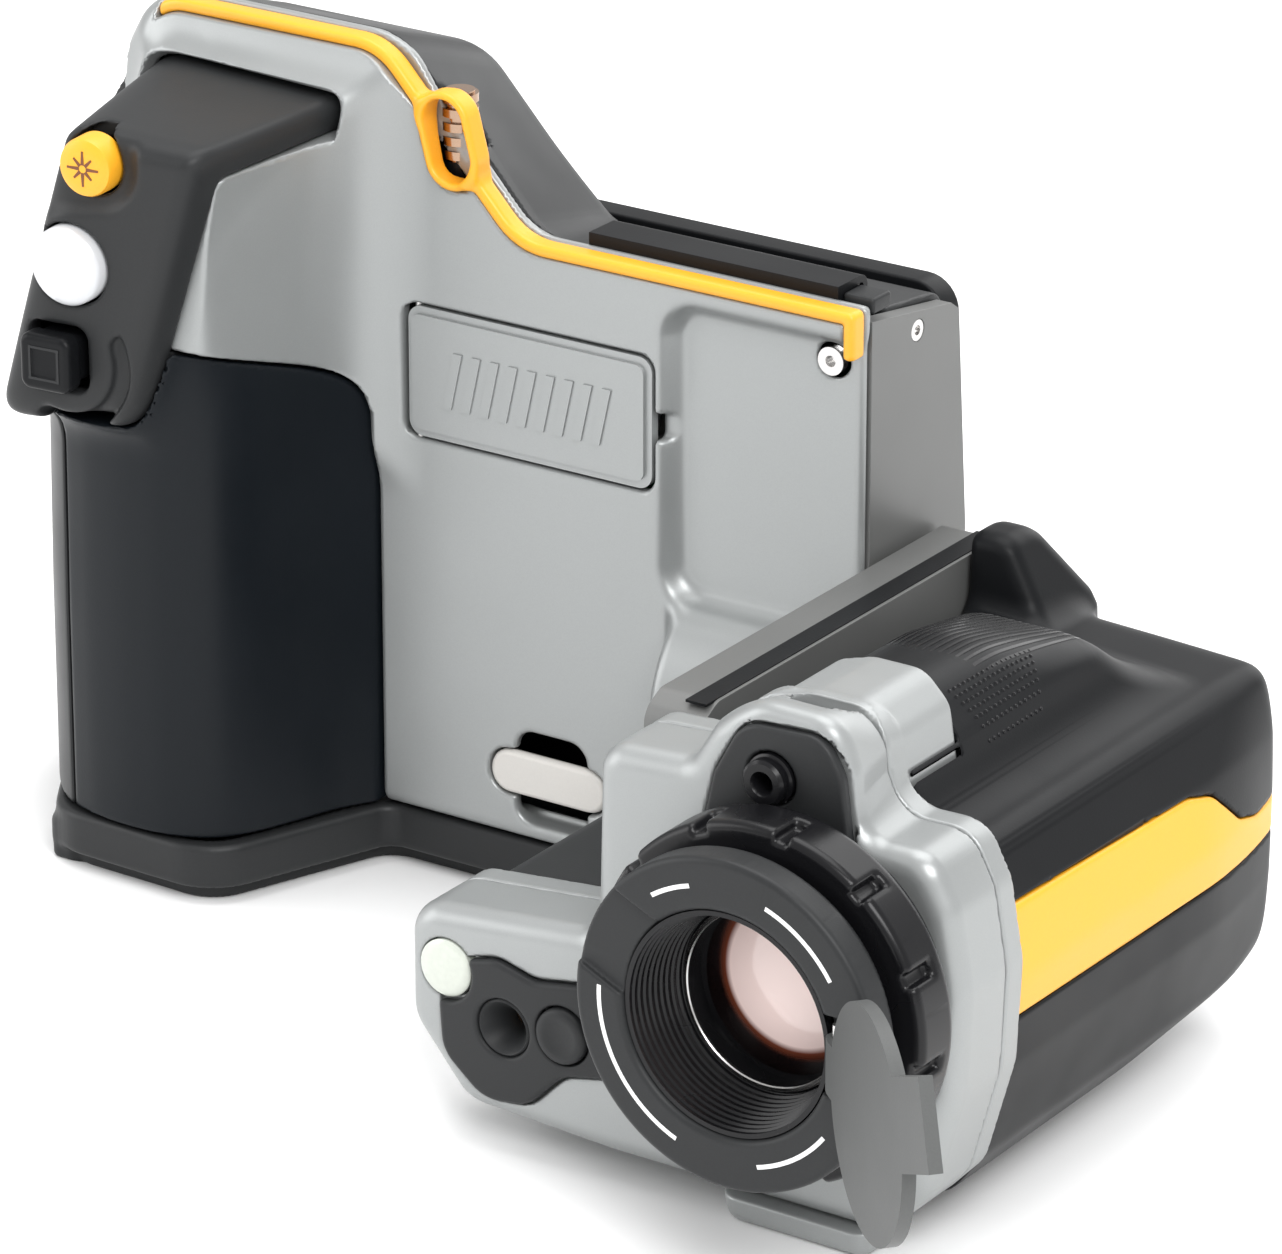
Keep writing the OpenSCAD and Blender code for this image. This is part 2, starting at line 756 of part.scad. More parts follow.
module stylus() {
    color(black)
    translate([stylus_x, stylus_y, stylus_top_z - stylus_cap_h - stylus_len]) union() {
        translate([0, 0, 5]) cylinder(h = stylus_len - 5, r = stylus_r);
        cylinder(h = 5.01, r1 = 0.7, r2 = stylus_r);
    }
}

module stylus_cap() {
    color(bronze)
    translate([stylus_x, stylus_y, stylus_top_z - stylus_cap_h]) union() {
        cylinder(h = stylus_cap_h, r = 2.1);
        for (i = [0:4]) translate([0, 0, 0.4 + i * 2]) cylinder(h = 1.2, r = 2.6);
    }
}

module button(r, h) {
    union() {
        translate([0, 0, -h]) cylinder(h = h - 0.2, r = r);
        translate([0, 0, -0.2]) cylinder(h = 1, r1 = r, r2 = r - 0.9);
    }
}

module laser_button() {
    color(accent) on_nose(LASER_AT) translate([0, 0, 0.5]) button(laser_button_r, 4);
}

module save_button() {
    color("#e6e8ea") on_nose(SAVE_AT) translate([0, 0, 0.4]) button(save_button_r, 4);
}

module zoom_key() {
    color(black)
    on_nose(ZOOM_AT) union() {
        translate([0, 0, 0.8]) linear_extrude(2.2) round_rect(-zoom_key_w / 2, -zoom_key_w / 2,
                                                         zoom_key_w / 2, zoom_key_w / 2, 1.6);
        translate([0, 0, -4.5]) linear_extrude(5.4) round_rect(-3.6, -3.6, 3.6, 3.6, 1);
    }
}

module cover_outline() {
    polygon(rounded(COVER));
}

module shell_outline() {
    polygon(rounded(SHELL));
}

// Everything above the hump's sloping top
module above_hump() {
    translate([52, unit_seam_y, hump_z]) rotate([-hump_fall, 0, 0]) translate([0, -20, 0]) cube([50, 20, 20]);
}

module lens_front_cover() {
    color(silver)
    difference() {
        union() {
            along_y(unit_front_y + 1.6, unit_seam_y) cover_outline();
            along_y(unit_front_y, unit_front_y + 1.7) offset(delta = -1.6) cover_outline();
        }
        // hollow inside, open at the back
        along_y(unit_front_y + wall + 0.6, unit_seam_y + eps) offset(delta = -wall - 0.8) cover_outline();
        rod_y(lens_x, lens_z, 19.2, unit_front_y - eps, unit_seam_y);
        rod_y(laser_x, laser_z, 3.6, unit_front_y - eps, unit_seam_y);
        rod_y(lamp_x, lamp_z, 4.2, unit_front_y - eps, unit_seam_y);
        along_y(unit_front_y - eps, unit_front_y + 1.2) arm_panel_outline(0.2);
        rod_y(eye_x, eye_z, 4.3, unit_front_y - eps, unit_seam_y);
        rod_y(release_x, release_z, release_r + seam, unit_front_y - eps, unit_seam_y);
        along_y(unit_front_y - eps, unit_front_y + 1.2) laser_panel_outline(0.2);
        above_hump();
    }
}

module lens_collar() {
    color(silver)
    difference() {
        union() {
            along_y(unit_seam_y + 0.4, unit_seam_y + 4) offset(delta = 0.2) cover_outline();
            // laser hump
            along_y(unit_seam_y + 3.9, unit_seam_y + 16) polygon(rounded(HUMP));
        }
        translate([52, unit_seam_y - 1, hump_z]) cube([50, 5.5, 20]);
        along_y(unit_seam_y, unit_seam_y + 14) intersection() {
            offset(delta = -wall - 0.4) cover_outline();
            translate([10, 0]) square([100, hump_z - 2]);
        }
        along_y(unit_seam_y + 4, unit_seam_y + 20) offset(delta = 0.1) shell_outline();
    }
}

// The lens unit's black shell, drawn in towards its rear face
module unit_form(inset) {
    intersection() {
        along_y(unit_seam_y + 4.1 - inset, unit_rear_y - inset) offset(delta = -inset) shell_outline();
        along_x(45, 105) offset(delta = -inset) polygon(rounded(SHELL_SIDE));
        linear_extrude(80) offset(delta = -inset) polygon(rounded(SHELL_PLAN));
    }
}

module unit_body() {
    difference() {
        unit_form(0);
        unit_form(wall);
    }
}

module stripe_outline(grow) {
    polygon([
        [unit_seam_y + 4, stripe_z0 - grow], [unit_rear_y + 2, stripe_z0 - grow - 1],
        [unit_rear_y + 2, 35.2 + grow], [-1, 35.6 + grow], [-6, 37 + grow], [-14, 42.5 + grow],
        [-18, stripe_z1 - 1.4 + grow], [-24, stripe_z1 - 0.8 + grow], [unit_seam_y + 4, stripe_z1 + grow]
    ]);
}

module lens_upper_shell() {
    color(black)
    difference() {
        union() {
            unit_body();
            // raised block at the rear end of the side plate, and the bump behind the laser
            intersection() {
                along_y(-3, unit_rear_y - 0.6) polygon(rounded(RIDGE));
                along_x(45, 70) polygon(rounded(RIDGE_SIDE));
            }
            intersection() {
                along_y(unit_seam_y + 16.2, -8) polygon(rounded(BUMP));
                along_x(45, 100) polygon(rounded(BUMP_SIDE));
            }
        }
        translate([40, -100, -10]) cube([80, 140, stripe_z0 + 10.15]);
        along_x(92, 110) stripe_outline(0.15);
    }
}

module lens_lower_shell() {
    color(black)
    difference() {
        unit_body();
        translate([40, -100, stripe_z0 - 0.15]) cube([80, 140, 60]);
        along_x(92, 110) stripe_outline(0.15);
    }
}

module side_stripe() {
    color(accent)
    intersection() {
        unit_body();
        along_x(92, 110) stripe_outline(0);
    }
}

module inner_side_plate() {
    color(mid_grey)
    difference() {
        along_x(unit_x, 50.6) polygon(rounded([
            [-65.9, 60.2, 3], [-65.9, 34, 1], [-30, 8, 8], [7, 8, 10], [8.7, 62.3, 2], [-62, 62.3, 3]
        ]));
        translate([unit_x + 2, -63, 12]) cube([5, 68, 48]);
        rod_x(tilt_y, tilt_z, shaft_r + 0.02, unit_x - 1, 60);
    }
}

module arm_shell() {
    color(charcoal)
    difference() {
        along_x(17.5, unit_x - 0.1) polygon(rounded([
            [unit_seam_y + 4.2, 31.8, 0], [unit_seam_y + 4.2, 7, 0], [-40, 6.5, 4], [-18, 32, 0]
        ]));
        rod_x(tilt_y, tilt_z, drum_r + 1.5, 10, 50);
        // hollow inside, open at the front
        along_x(17.5 + wall, unit_x - wall) polygon([
            [unit_seam_y, 29.8], [unit_seam_y, 9.5], [-42, 9.5], [-29, 24.5], [-27, 29.8]
        ]);
    }
}

module lens_foot() {
    color(silver)
    hull() for (x = [66, 84.4]) for (y = [-79.2, -72.8]) {
        translate([x, y, 0]) cylinder(h = 3.8, r1 = 1.6, r2 = 2.4, $fn = hull_fn);
    }
}

module arm_panel_outline(grow) {
    offset(delta = grow) polygon(rounded(ARM_PANEL));
}

module camera_panel() {
    color(charcoal)
    difference() {
        along_y(unit_front_y - 0.9, unit_front_y + 1) arm_panel_outline(0);
        rod_y(lamp_x, lamp_z, 4.3, unit_front_y - 2, unit_front_y + 2);
        rod_y(eye_x, eye_z, 4.1, unit_front_y - 2, unit_front_y + 2);
        rod_y(release_x, release_z, release_r + seam, unit_front_y - 2, unit_front_y + 2);
    }
}

module visual_camera() {
    color(black)
    difference() {
        rod_y(eye_x, eye_z, 4, unit_front_y - 0.6, unit_front_y + 9);
        translate([eye_x, unit_front_y + 2.4, eye_z]) rotate([90, 0, 0])
            cylinder(h = 3.2, r1 = 1.6, r2 = 3.6);
    }
}

module lamp_lens() {
    color("#e6ecdc")
    rod_y(lamp_x, lamp_z, 4, unit_front_y - 0.3, unit_front_y + 2.4);
}

module lamp_led() {
    color(steel)
    rod_y(lamp_x, lamp_z, 3.4, unit_front_y + 2.6, unit_front_y + 6);
}

module laser_panel_outline(grow) {
    offset(delta = grow) polygon(rounded(LASER_PANEL));
}

module laser_panel() {
    color(charcoal)
    difference() {
        along_y(unit_front_y - 0.8, unit_front_y + 1) laser_panel_outline(0);
        rod_y(laser_x, laser_z, 3.6, unit_front_y - 3, unit_front_y + 3);
        rod_y(lens_x, lens_z, 19.5, unit_front_y - 3, unit_front_y + 3);
    }
}

module laser_module() {
    color(black)
    difference() {
        rod_y(laser_x, laser_z, 3.4, unit_front_y - 2, unit_front_y + 10);
        rod_y(laser_x, laser_z, 1.5, unit_front_y - 3, unit_front_y + 4);
    }
}

module lens_barrel() {
    color(black)
    difference() {
        union() {
            rod_y(lens_x, lens_z, 19, -84, unit_seam_y + 3.5);
            rod_y(lens_x, lens_z, 14.5, unit_seam_y + 3.4, -60);
            rod_y(lens_x, lens_z, 17.6, ring_front_y + 6.8, -83.9);
            rod_y(lens_x, lens_z, 15.2, ring_front_y + 0.8, -83.9);
            // seat that the focus ring runs against
            rod_y(lens_x, lens_z, 21.6, -84.4, unit_front_y - 0.9);
        }
        rod_y(lens_x, lens_z, 11.2, ring_front_y, -60 + eps);
        // stepped light baffle in front of the objective
        for (i = [0:5]) rod_y(lens_x, lens_z, 14 - i * 0.35, ring_front_y, ring_front_y + 1.6 + i * 1.4);
        rod_y(lens_x, lens_z, objective_r + 0.05, ring_front_y + 9, ring_front_y + 14.05);
    }
}

module objective_lens() {
    color("#f2d6cf")
    difference() {
        rod_y(lens_x, lens_z, objective_r, ring_front_y + 10, ring_front_y + 14);
        translate([lens_x, ring_front_y + 55, lens_z]) sphere(r = 41.2, $fn = 96);
    }
}

module detector_module() {
    color(steel)
    union() {
        translate([lens_x - 13, -50, lens_z - 13]) cube([26, 24, 26]);
        rod_y(lens_x, lens_z, 12, -59.8, -49.9);
        translate([lens_x - 15, -24, lens_z - 17]) cube([28, 1.6, 30]);
        translate([lens_x - 6, -26.1, lens_z - 8]) cube([12, 2.2, 12]);
    }
}

module tilt_shaft() {
    color(steel)
    difference() {
        union() {
            rod_x(tilt_y, tilt_z, shaft_r, end_x - 8.2, 50.4);
            rod_x(tilt_y, tilt_z, 11, end_x - 8.2, end_x - 5.5);
        }
        rod_x(tilt_y, tilt_z, 6, end_x - 10, 51);
    }
}

module lens_release() {
    color(charcoal)
    union() {
        rod_y(release_x, release_z, release_r, unit_front_y - 1.5, unit_front_y + 3.2);
        rod_y(release_x, release_z, release_r + 1.4, unit_front_y + 3.2, unit_front_y + 4.4);
    }
}

module focus_ring() {
    color(black)
    difference() {
        union() {
            rod_y(lens_x, lens_z, focus_r, ring_front_y + 7.4, -84.7);
            for (a = [20:45:335]) translate([lens_x, -84.7, lens_z]) rotate([90, a, 0])
                translate([focus_r - 1.4, 0, 0]) cylinder(h = 6.5, r = 2.1);
        }
        rod_y(lens_x, lens_z, 17.68, ring_front_y, -80);
    }
}

module bayonet_ring() {
    color(charcoal)
    difference() {
        union() {
            rod_y(lens_x, lens_z, ring_r, ring_front_y, ring_front_y + 5);
            rod_y(lens_x, lens_z, ring_r - 1.4, ring_front_y + 4.9, ring_front_y + 6.6);
        }
        rod_y(lens_x, lens_z, ring_bore_r - 0.22, ring_front_y - 1, ring_front_y + 12);
        // shallow seats for the cap's finger tab and hinge
        translate([lens_x, ring_front_y + 1, lens_z]) rotate([90, cap_tab_a, 0])
            translate([-ring_r - 2, -6.2, 0]) cube([12, 12.4, 3]);
        translate([cap_pin_x - 2.9, ring_front_y - 1, lens_z - 5.4]) cube([5, 3, 10.8]);
    }
}

module cap_hinge_pin() {
    color(steel)
    rod_z(cap_pin_x, cap_pin_y, pin_r, lens_z - 5.3, lens_z + 5.3);
}

// The cap as it lies when shut
module cap_shut() {
    difference() {
        union() {
            rod_y(lens_x, lens_z, cap_r, cap_pin_y - 0.3, cap_pin_y - 0.3 + cap_t);
            translate([lens_x, cap_pin_y - 0.3 + cap_t, lens_z]) rotate([90, cap_tab_a, 0])
                translate([-25.5, -5.8, 0]) cube([12, 11.6, cap_t]);
            rod_z(cap_pin_x, cap_pin_y, 1.4, lens_z - 3.6, lens_z + 3.6);
            translate([cap_pin_x - 4, cap_pin_y - 0.3, lens_z - 3.6]) cube([3.6, cap_t, 7.2]);
        }
        rod_z(cap_pin_x, cap_pin_y, pin_bore_r, lens_z - 10, lens_z + 10);
    }
}

module lens_cap() {
    color("#6c706e")
    translate([cap_pin_x, cap_pin_y, 0]) rotate([0, 0, cap_open]) translate([-cap_pin_x, -cap_pin_y, 0])
        cap_shut();
}

front_shell();
rear_shell();
end_plate();
accent_strip();
head_cover();
grip_shell();
base_cover();
lcd_bezel();
lcd_glass();
lcd_module();
main_board();
connector_board();
memory_card();
stylus_tube();
strap_bar();
battery_pack();
tripod_bush();
housing_screws();
tilt_bearing();
keypad_plate();
battery_door();
connector_door();
connector_door_pin();
card_cover();
card_cover_tab();
card_cover_pin();
stylus();
stylus_cap();
laser_button();
save_button();
zoom_key();
joystick();
menu_key();
mode_key();
record_key();
power_key();
lens_front_cover();
lens_collar();
lens_upper_shell();
lens_lower_shell();
side_stripe();
inner_side_plate();
arm_shell();
lens_foot();
camera_panel();
visual_camera();
lamp_lens();
lamp_led();
laser_panel();
laser_module();
lens_barrel();
objective_lens();
detector_module();
tilt_shaft();
lens_release();
focus_ring();
bayonet_ring();
cap_hinge_pin();
lens_cap();
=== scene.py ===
import json
import math

import bmesh
import bpy
import numpy as np
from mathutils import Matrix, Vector


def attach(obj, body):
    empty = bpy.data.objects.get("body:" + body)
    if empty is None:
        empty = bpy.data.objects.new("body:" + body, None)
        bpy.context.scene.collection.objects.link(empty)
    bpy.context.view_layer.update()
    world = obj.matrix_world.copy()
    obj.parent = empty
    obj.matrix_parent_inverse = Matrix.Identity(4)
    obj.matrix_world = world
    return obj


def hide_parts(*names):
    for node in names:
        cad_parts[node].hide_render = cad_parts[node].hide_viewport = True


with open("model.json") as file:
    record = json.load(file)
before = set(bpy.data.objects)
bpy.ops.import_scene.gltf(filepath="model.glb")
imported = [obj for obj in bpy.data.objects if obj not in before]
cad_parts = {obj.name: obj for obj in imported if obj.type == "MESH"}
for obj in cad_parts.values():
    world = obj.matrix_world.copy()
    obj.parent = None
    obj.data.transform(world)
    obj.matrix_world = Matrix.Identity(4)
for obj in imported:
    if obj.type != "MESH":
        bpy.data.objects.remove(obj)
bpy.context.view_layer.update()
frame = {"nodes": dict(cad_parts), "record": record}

# Lengths are in millimetres until a mesh is made.
MM = 0.001
NODES = frame["nodes"]


# ---------------------------------------------------------------- solid shapes

def unit(v):
    v = np.asarray(v, float)
    return v / np.linalg.norm(v)


def rounded(corners):
    """Outline points of a polygon whose corners (u, v, radius) are rounded."""
    out = []
    n = len(corners)
    for i, c in enumerate(corners):
        b, r = np.array(c[:2], float), c[2]
        if r == 0:
            out.append(b)
            continue
        u = unit(np.array(corners[i - 1][:2]) - b)
        v = unit(np.array(corners[(i + 1) % n][:2]) - b)
        half = math.acos(np.clip(u @ v, -1, 1)) / 2
        centre = b + unit(u + v) * r / math.sin(half)
        s, e = b + u * r / math.tan(half) - centre, b + v * r / math.tan(half) - centre
        a0 = math.atan2(s[1], s[0])
        turn = (math.atan2(e[1], e[0]) - a0 + math.pi) % (2 * math.pi) - math.pi
        steps = max(3, math.ceil(abs(math.degrees(turn)) / 9))
        for k in range(steps + 1):
            a = a0 + turn * k / steps
            out.append(centre + r * np.array([math.cos(a), math.sin(a)]))
    return np.array(out)


def curve_through(points, steps=8, closed=True):
    """Catmull-Rom points through the given ones."""
    p = np.array(points, float)
    n = len(p)
    out = []
    for i in range(n if closed else n - 1):
        a, b, c, d = (p[(i + k) % n] if closed else p[min(max(i + k, 0), n - 1)] for k in (-1, 0, 1, 2))
        for t in np.arange(steps) / steps:
            out.append(0.5 * (2 * b + (c - a) * t + (2 * a - 5 * b + 4 * c - d) * t * t
                              + (3 * b - a - 3 * c + d) * t ** 3))
    if not closed:
        out.append(p[-1])
    return np.array(out)


class Outline:
    """Signed distance to a closed outline in a plane, kept on a fine grid."""

    def __init__(self, points, step=0.4, margin=12):
        points = np.asarray(points, float)
        self.lo = points.min(0) - margin
        self.step = step
        size = np.ceil((points.max(0) + margin - self.lo) / step).astype(int) + 1
        cells = np.stack(np.meshgrid(*(np.arange(s) for s in size), indexing="ij"), -1).reshape(-1, 2)
        g = cells * step + self.lo
        d = np.full(len(g), 1e9)
        inside = np.zeros(len(g), bool)
        for a, b in zip(points, np.roll(points, -1, 0)):
            e, w = b - a, g - a
            if e @ e < 1e-12:
                continue
            t = np.clip(w @ e / (e @ e), 0, 1)
            d = np.minimum(d, ((w - t[:, None] * e) ** 2).sum(1))
            if a[1] != b[1]:
                inside ^= ((a[1] > g[:, 1]) != (b[1] > g[:, 1])) & (
                    g[:, 0] < (b[0] - a[0]) * (g[:, 1] - a[1]) / (b[1] - a[1]) + a[0])
        self.d = (np.where(inside, -1, 1) * np.sqrt(d)).reshape(size).astype(np.float32)

    def __call__(self, u, v):
        fu, fv = (u - self.lo[0]) / self.step, (v - self.lo[1]) / self.step
        cu = np.clip(fu, 0, self.d.shape[0] - 1.001)
        cv = np.clip(fv, 0, self.d.shape[1] - 1.001)
        i, j = cu.astype(int), cv.astype(int)
        s, t = cu - i, cv - j
        d = self.d
        near = d[i, j] * (1 - s) + d[i + 1, j] * s
        far = d[i, j + 1] * (1 - s) + d[i + 1, j + 1] * s
        inner = near * (1 - t) + far * t
        return inner + np.hypot(fu - cu, fv - cv) * self.step


def smin(a, b, k):
    h = np.maximum(k - np.abs(a - b), 0) / k
    return np.minimum(a, b) - h * h * k * 0.25


def smax(a, b, k):
    return -smin(-a, -b, k)


def cut(a, b, k=0.5):
    """a with b taken away, and the edge between them rounded."""
    return smax(a, -b, k)


def prism(d, t, t0, t1, r):
    """An outline's distance d drawn out from t0 to t1, with edges of radius r."""
    w0 = d + r
    w1 = np.abs(t - (t0 + t1) / 2) - (t1 - t0) / 2 + r
    return np.minimum(np.maximum(w0, w1), 0) + np.hypot(np.maximum(w0, 0), np.maximum(w1, 0)) - r


def rect(u, v, u0, v0, u1, v1, r):
    a = np.abs(u - (u0 + u1) / 2) - (u1 - u0) / 2 + r
    b = np.abs(v - (v0 + v1) / 2) - (v1 - v0) / 2 + r
    return np.minimum(np.maximum(a, b), 0) + np.hypot(np.maximum(a, 0), np.maximum(b, 0)) - r


def disc(u, v, cu, cv, r):
    return np.hypot(u - cu, v - cv) - r


def segment(u, v, a, b, r):
    a, b = np.array(a, float), np.array(b, float)
    e = b - a
    t = np.clip(((u - a[0]) * e[0] + (v - a[1]) * e[1]) / (e @ e), 0, 1)
    return np.hypot(u - a[0] - t * e[0], v - a[1] - t * e[1]) - r


def hull(points, r, k):
    """A function for the rounded hull of some points."""
    bm = bmesh.new()
    for p in points:
        bm.verts.new(p)
    bmesh.ops.convex_hull(bm, input=bm.verts)
    centre = np.mean(points, 0)
    planes = []
    for f in bm.faces:
        f.normal_update()
        n = np.array(f.normal)
        c = np.array(f.calc_center_median())
        if n @ (c - centre) < 0:
            n = -n
        if not any(n @ m > 0.999 and abs(n @ c - q) < 0.3 for m, q in planes):
            planes.append((n, n @ c))
    bm.free()

    def f(x, y, z):
        d = None
        for n, q in planes:
            e = x * n[0] + y * n[1] + z * n[2] - q - r
            d = e if d is None else smax(d, e, k)
        return d
    return f


# ---------------------------------------------------------------- meshes

def finish_mesh(name, verts, faces, body, replaced, mat, smooth=True):
    mesh = bpy.data.meshes.new(name)
    mesh.from_pydata([tuple(v) for v in np.asarray(verts, float) * MM], [], faces)
    mesh.update()
    obj = bpy.data.objects.new(name, mesh)
    bpy.context.scene.collection.objects.link(obj)
    mesh.materials.append(mat)
    if smooth:
        mesh.shade_smooth()
    else:
        bm = bmesh.new()
        bm.from_mesh(mesh)
        bmesh.ops.recalc_face_normals(bm, faces=bm.faces)
        bm.to_mesh(mesh)
        bm.free()
    place(obj, body, replaced)
    return obj


def raised(name, quads, out, body, mat):
    """Thin shapes that stand out of a face: each is four points, drawn out along a vector."""
    verts, faces = [], []
    for q in quads:
        b = len(verts)
        verts += [tuple(p) for p in q] + [tuple(np.array(p) + out) for p in q]
        faces += [(b + 3, b + 2, b + 1, b), (b + 4, b + 5, b + 6, b + 7)]
        faces += [(b + i, b + (i + 1) % 4, b + 4 + (i + 1) % 4, b + 4 + i) for i in range(4)]
    return finish_mesh(name, verts, faces, body, None, mat, smooth=False)


def place(obj, body, replaced):
    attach(obj, body)
    if replaced:
        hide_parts(*([replaced] if isinstance(replaced, str) else replaced))


BLOCK = 8
CORNERS = np.array([(i, j, k) for i in (0, 1) for j in (0, 1) for k in (0, 1)])
EDGES = [(a, b) for a in range(8) for b in range(a + 1, 8) if abs(CORNERS[a] - CORNERS[b]).sum() == 1]


def gradient(f, p, h):
    g = np.empty_like(p)
    for axis in range(3):
        a, b = p.copy(), p.copy()
        a[:, axis] += h
        b[:, axis] -= h
        g[:, axis] = (f(*a.T) - f(*b.T)) / (2 * h)
    return g


def skin(f, lo, hi, step):
    """Vertices and quads of the surface where f is zero, from sparse blocks of cells."""
    lo, hi = np.array(lo, np.float32), np.array(hi, np.float32)
    nb = np.ceil((hi - lo) / (step * BLOCK)).astype(int)
    blocks = np.stack(np.meshgrid(*(np.arange(n) for n in nb), indexing="ij"), -1).reshape(-1, 3)
    mid = lo + (blocks + 0.5) * BLOCK * step
    near = np.abs(f(*mid.T.astype(np.float32))) < BLOCK * step * 1.0
    blocks = blocks[near]
    local = np.stack(np.meshgrid(*(np.arange(BLOCK + 1),) * 3, indexing="ij"), -1)
    values = np.empty((len(blocks),) + (BLOCK + 1,) * 3, np.float32)
    chunk = 1200
    for s in range(0, len(blocks), chunk):
        at = (blocks[s:s + chunk, None, None, None] * BLOCK + local) * np.float32(step) + lo
        flat = at.reshape(-1, 3).astype(np.float32)
        values[s:s + chunk] = f(flat[:, 0], flat[:, 1], flat[:, 2]).reshape(at.shape[:-1])
    sign = values < 0
    cells = [sign[:, i:i + BLOCK, j:j + BLOCK, k:k + BLOCK] for i, j, k in CORNERS]
    count = sum(c.astype(np.int8) for c in cells)
    which = np.nonzero((count > 0) & (count < 8))
    base = blocks[which[0]] * BLOCK + np.stack(which[1:], 1)
    corner = np.stack([values[which[0], which[1] + i, which[2] + j, which[3] + k] for i, j, k in CORNERS], 1)
    total = np.zeros((len(base), 3))
    hits = np.zeros(len(base))
    for a, b in EDGES:
        va, vb = corner[:, a], corner[:, b]
        crossed = (va < 0) != (vb < 0)
        t = np.where(crossed, va / np.where(crossed, va - vb, 1), 0)
        total += np.where(crossed[:, None], CORNERS[a] + t[:, None] * (CORNERS[b] - CORNERS[a]), 0)
        hits += crossed
    verts = (base + total / hits[:, None]) * step + lo
    span = nb * BLOCK + 2

    def key(c):
        return (c[:, 0] * span[1] + c[:, 1]) * span[2] + c[:, 2]
    keys = key(base)
    order = np.argsort(keys)
    keys, verts = keys[order], verts[order]
    quads = []
    inner = sign[:, :BLOCK, :BLOCK, :BLOCK]
    for axis in range(3):
        off = [0, 0, 0]
        off[axis] = 1
        ahead = sign[:, off[0]:off[0] + BLOCK, off[1]:off[1] + BLOCK, off[2]:off[2] + BLOCK]
        w = np.nonzero(inner != ahead)
        g = blocks[w[0]] * BLOCK + np.stack(w[1:], 1)
        u, v = np.eye(3, dtype=int)[(axis + 1) % 3], np.eye(3, dtype=int)[(axis + 2) % 3]
        ring = [g - u - v, g - v, g, g - u]
        idx = []
        ok = (g - u - v >= 0).all(1)
        for c in ring:
            k = key(c)
            at = np.clip(np.searchsorted(keys, k), 0, len(keys) - 1)
            ok &= keys[at] == k
            idx.append(at)
        q = np.stack(idx, 1)
        flip = ~inner[w]
        q[flip] = q[flip][:, ::-1]
        quads.append(q[ok])
    return verts, np.concatenate(quads)


def moulded(name, f, lo, hi, step, body, replaced, mat, keep=0.3):
    """A piece whose surface is where f(x, y, z) is zero, thinned out where it's flat."""
    verts, quads = skin(f, lo, hi, step)
    for _ in range(2):
        p = verts.astype(np.float32)
        g = gradient(f, p, step * 0.4)
        g2 = np.maximum((g ** 2).sum(1), 0.2)
        move = f(*p.T)[:, None] * g / g2[:, None]
        verts = verts - np.clip(move, -step * 0.45, step * 0.45)
    obj = finish_mesh(name, verts, quads.tolist(), body, replaced, mat)
    mesh = obj.data
    if keep < 1:
        mod = obj.modifiers.new("thin", "DECIMATE")
        mod.ratio = keep
        dg = bpy.context.evaluated_depsgraph_get()
        dg.update()
        thin = bpy.data.meshes.new_from_object(obj.evaluated_get(dg))
        obj.modifiers.clear()
        old = obj.data
        obj.data = thin
        bpy.data.meshes.remove(old)
        thin.name = name
        mesh = thin
    co = np.empty(len(mesh.vertices) * 3, np.float32)
    mesh.vertices.foreach_get("co", co)
    g = gradient(f, co.reshape(-1, 3) / np.float32(MM), step * 0.5)
    length = np.linalg.norm(g, axis=1, keepdims=True)
    good = length[:, 0] > 0.3
    plain = np.empty(len(mesh.vertices) * 3, np.float32)
    mesh.vertices.foreach_get("normal", plain)
    normals = np.where(good[:, None], g / np.maximum(length, 1e-6), plain.reshape(-1, 3))
    mesh.normals_split_custom_set_from_vertices(normals.tolist())
    return obj


def softened(node, body, mat, width=0.4, segments=2, name=None):
    """A copy of a CAD node with rounded edges."""
    src = NODES[node]
    bm = bmesh.new()
    bm.from_mesh(src.data)
    bmesh.ops.remove_doubles(bm, verts=bm.verts, dist=1e-6)
    bmesh.ops.dissolve_limit(bm, angle_limit=math.radians(0.6), use_dissolve_boundaries=False,
                             verts=bm.verts, edges=bm.edges)
    sharp = [e for e in bm.edges if len(e.link_faces) == 2 and e.calc_face_angle(0) > math.radians(28)]
    bmesh.ops.bevel(bm, geom=sharp, offset=width * MM, segments=segments, profile=0.5, affect="EDGES",
                    clamp_overlap=True)
    name = name or "soft_" + node
    mesh = bpy.data.meshes.new(name)
    bm.to_mesh(mesh)
    bm.free()
    obj = bpy.data.objects.new(name, mesh)
    bpy.context.scene.collection.objects.link(obj)
    mesh.materials.append(mat)
    mesh.shade_smooth()
    mod = obj.modifiers.new("normals", "WEIGHTED_NORMAL")
    mod.keep_sharp = True
    place(obj, body, node)
    return obj


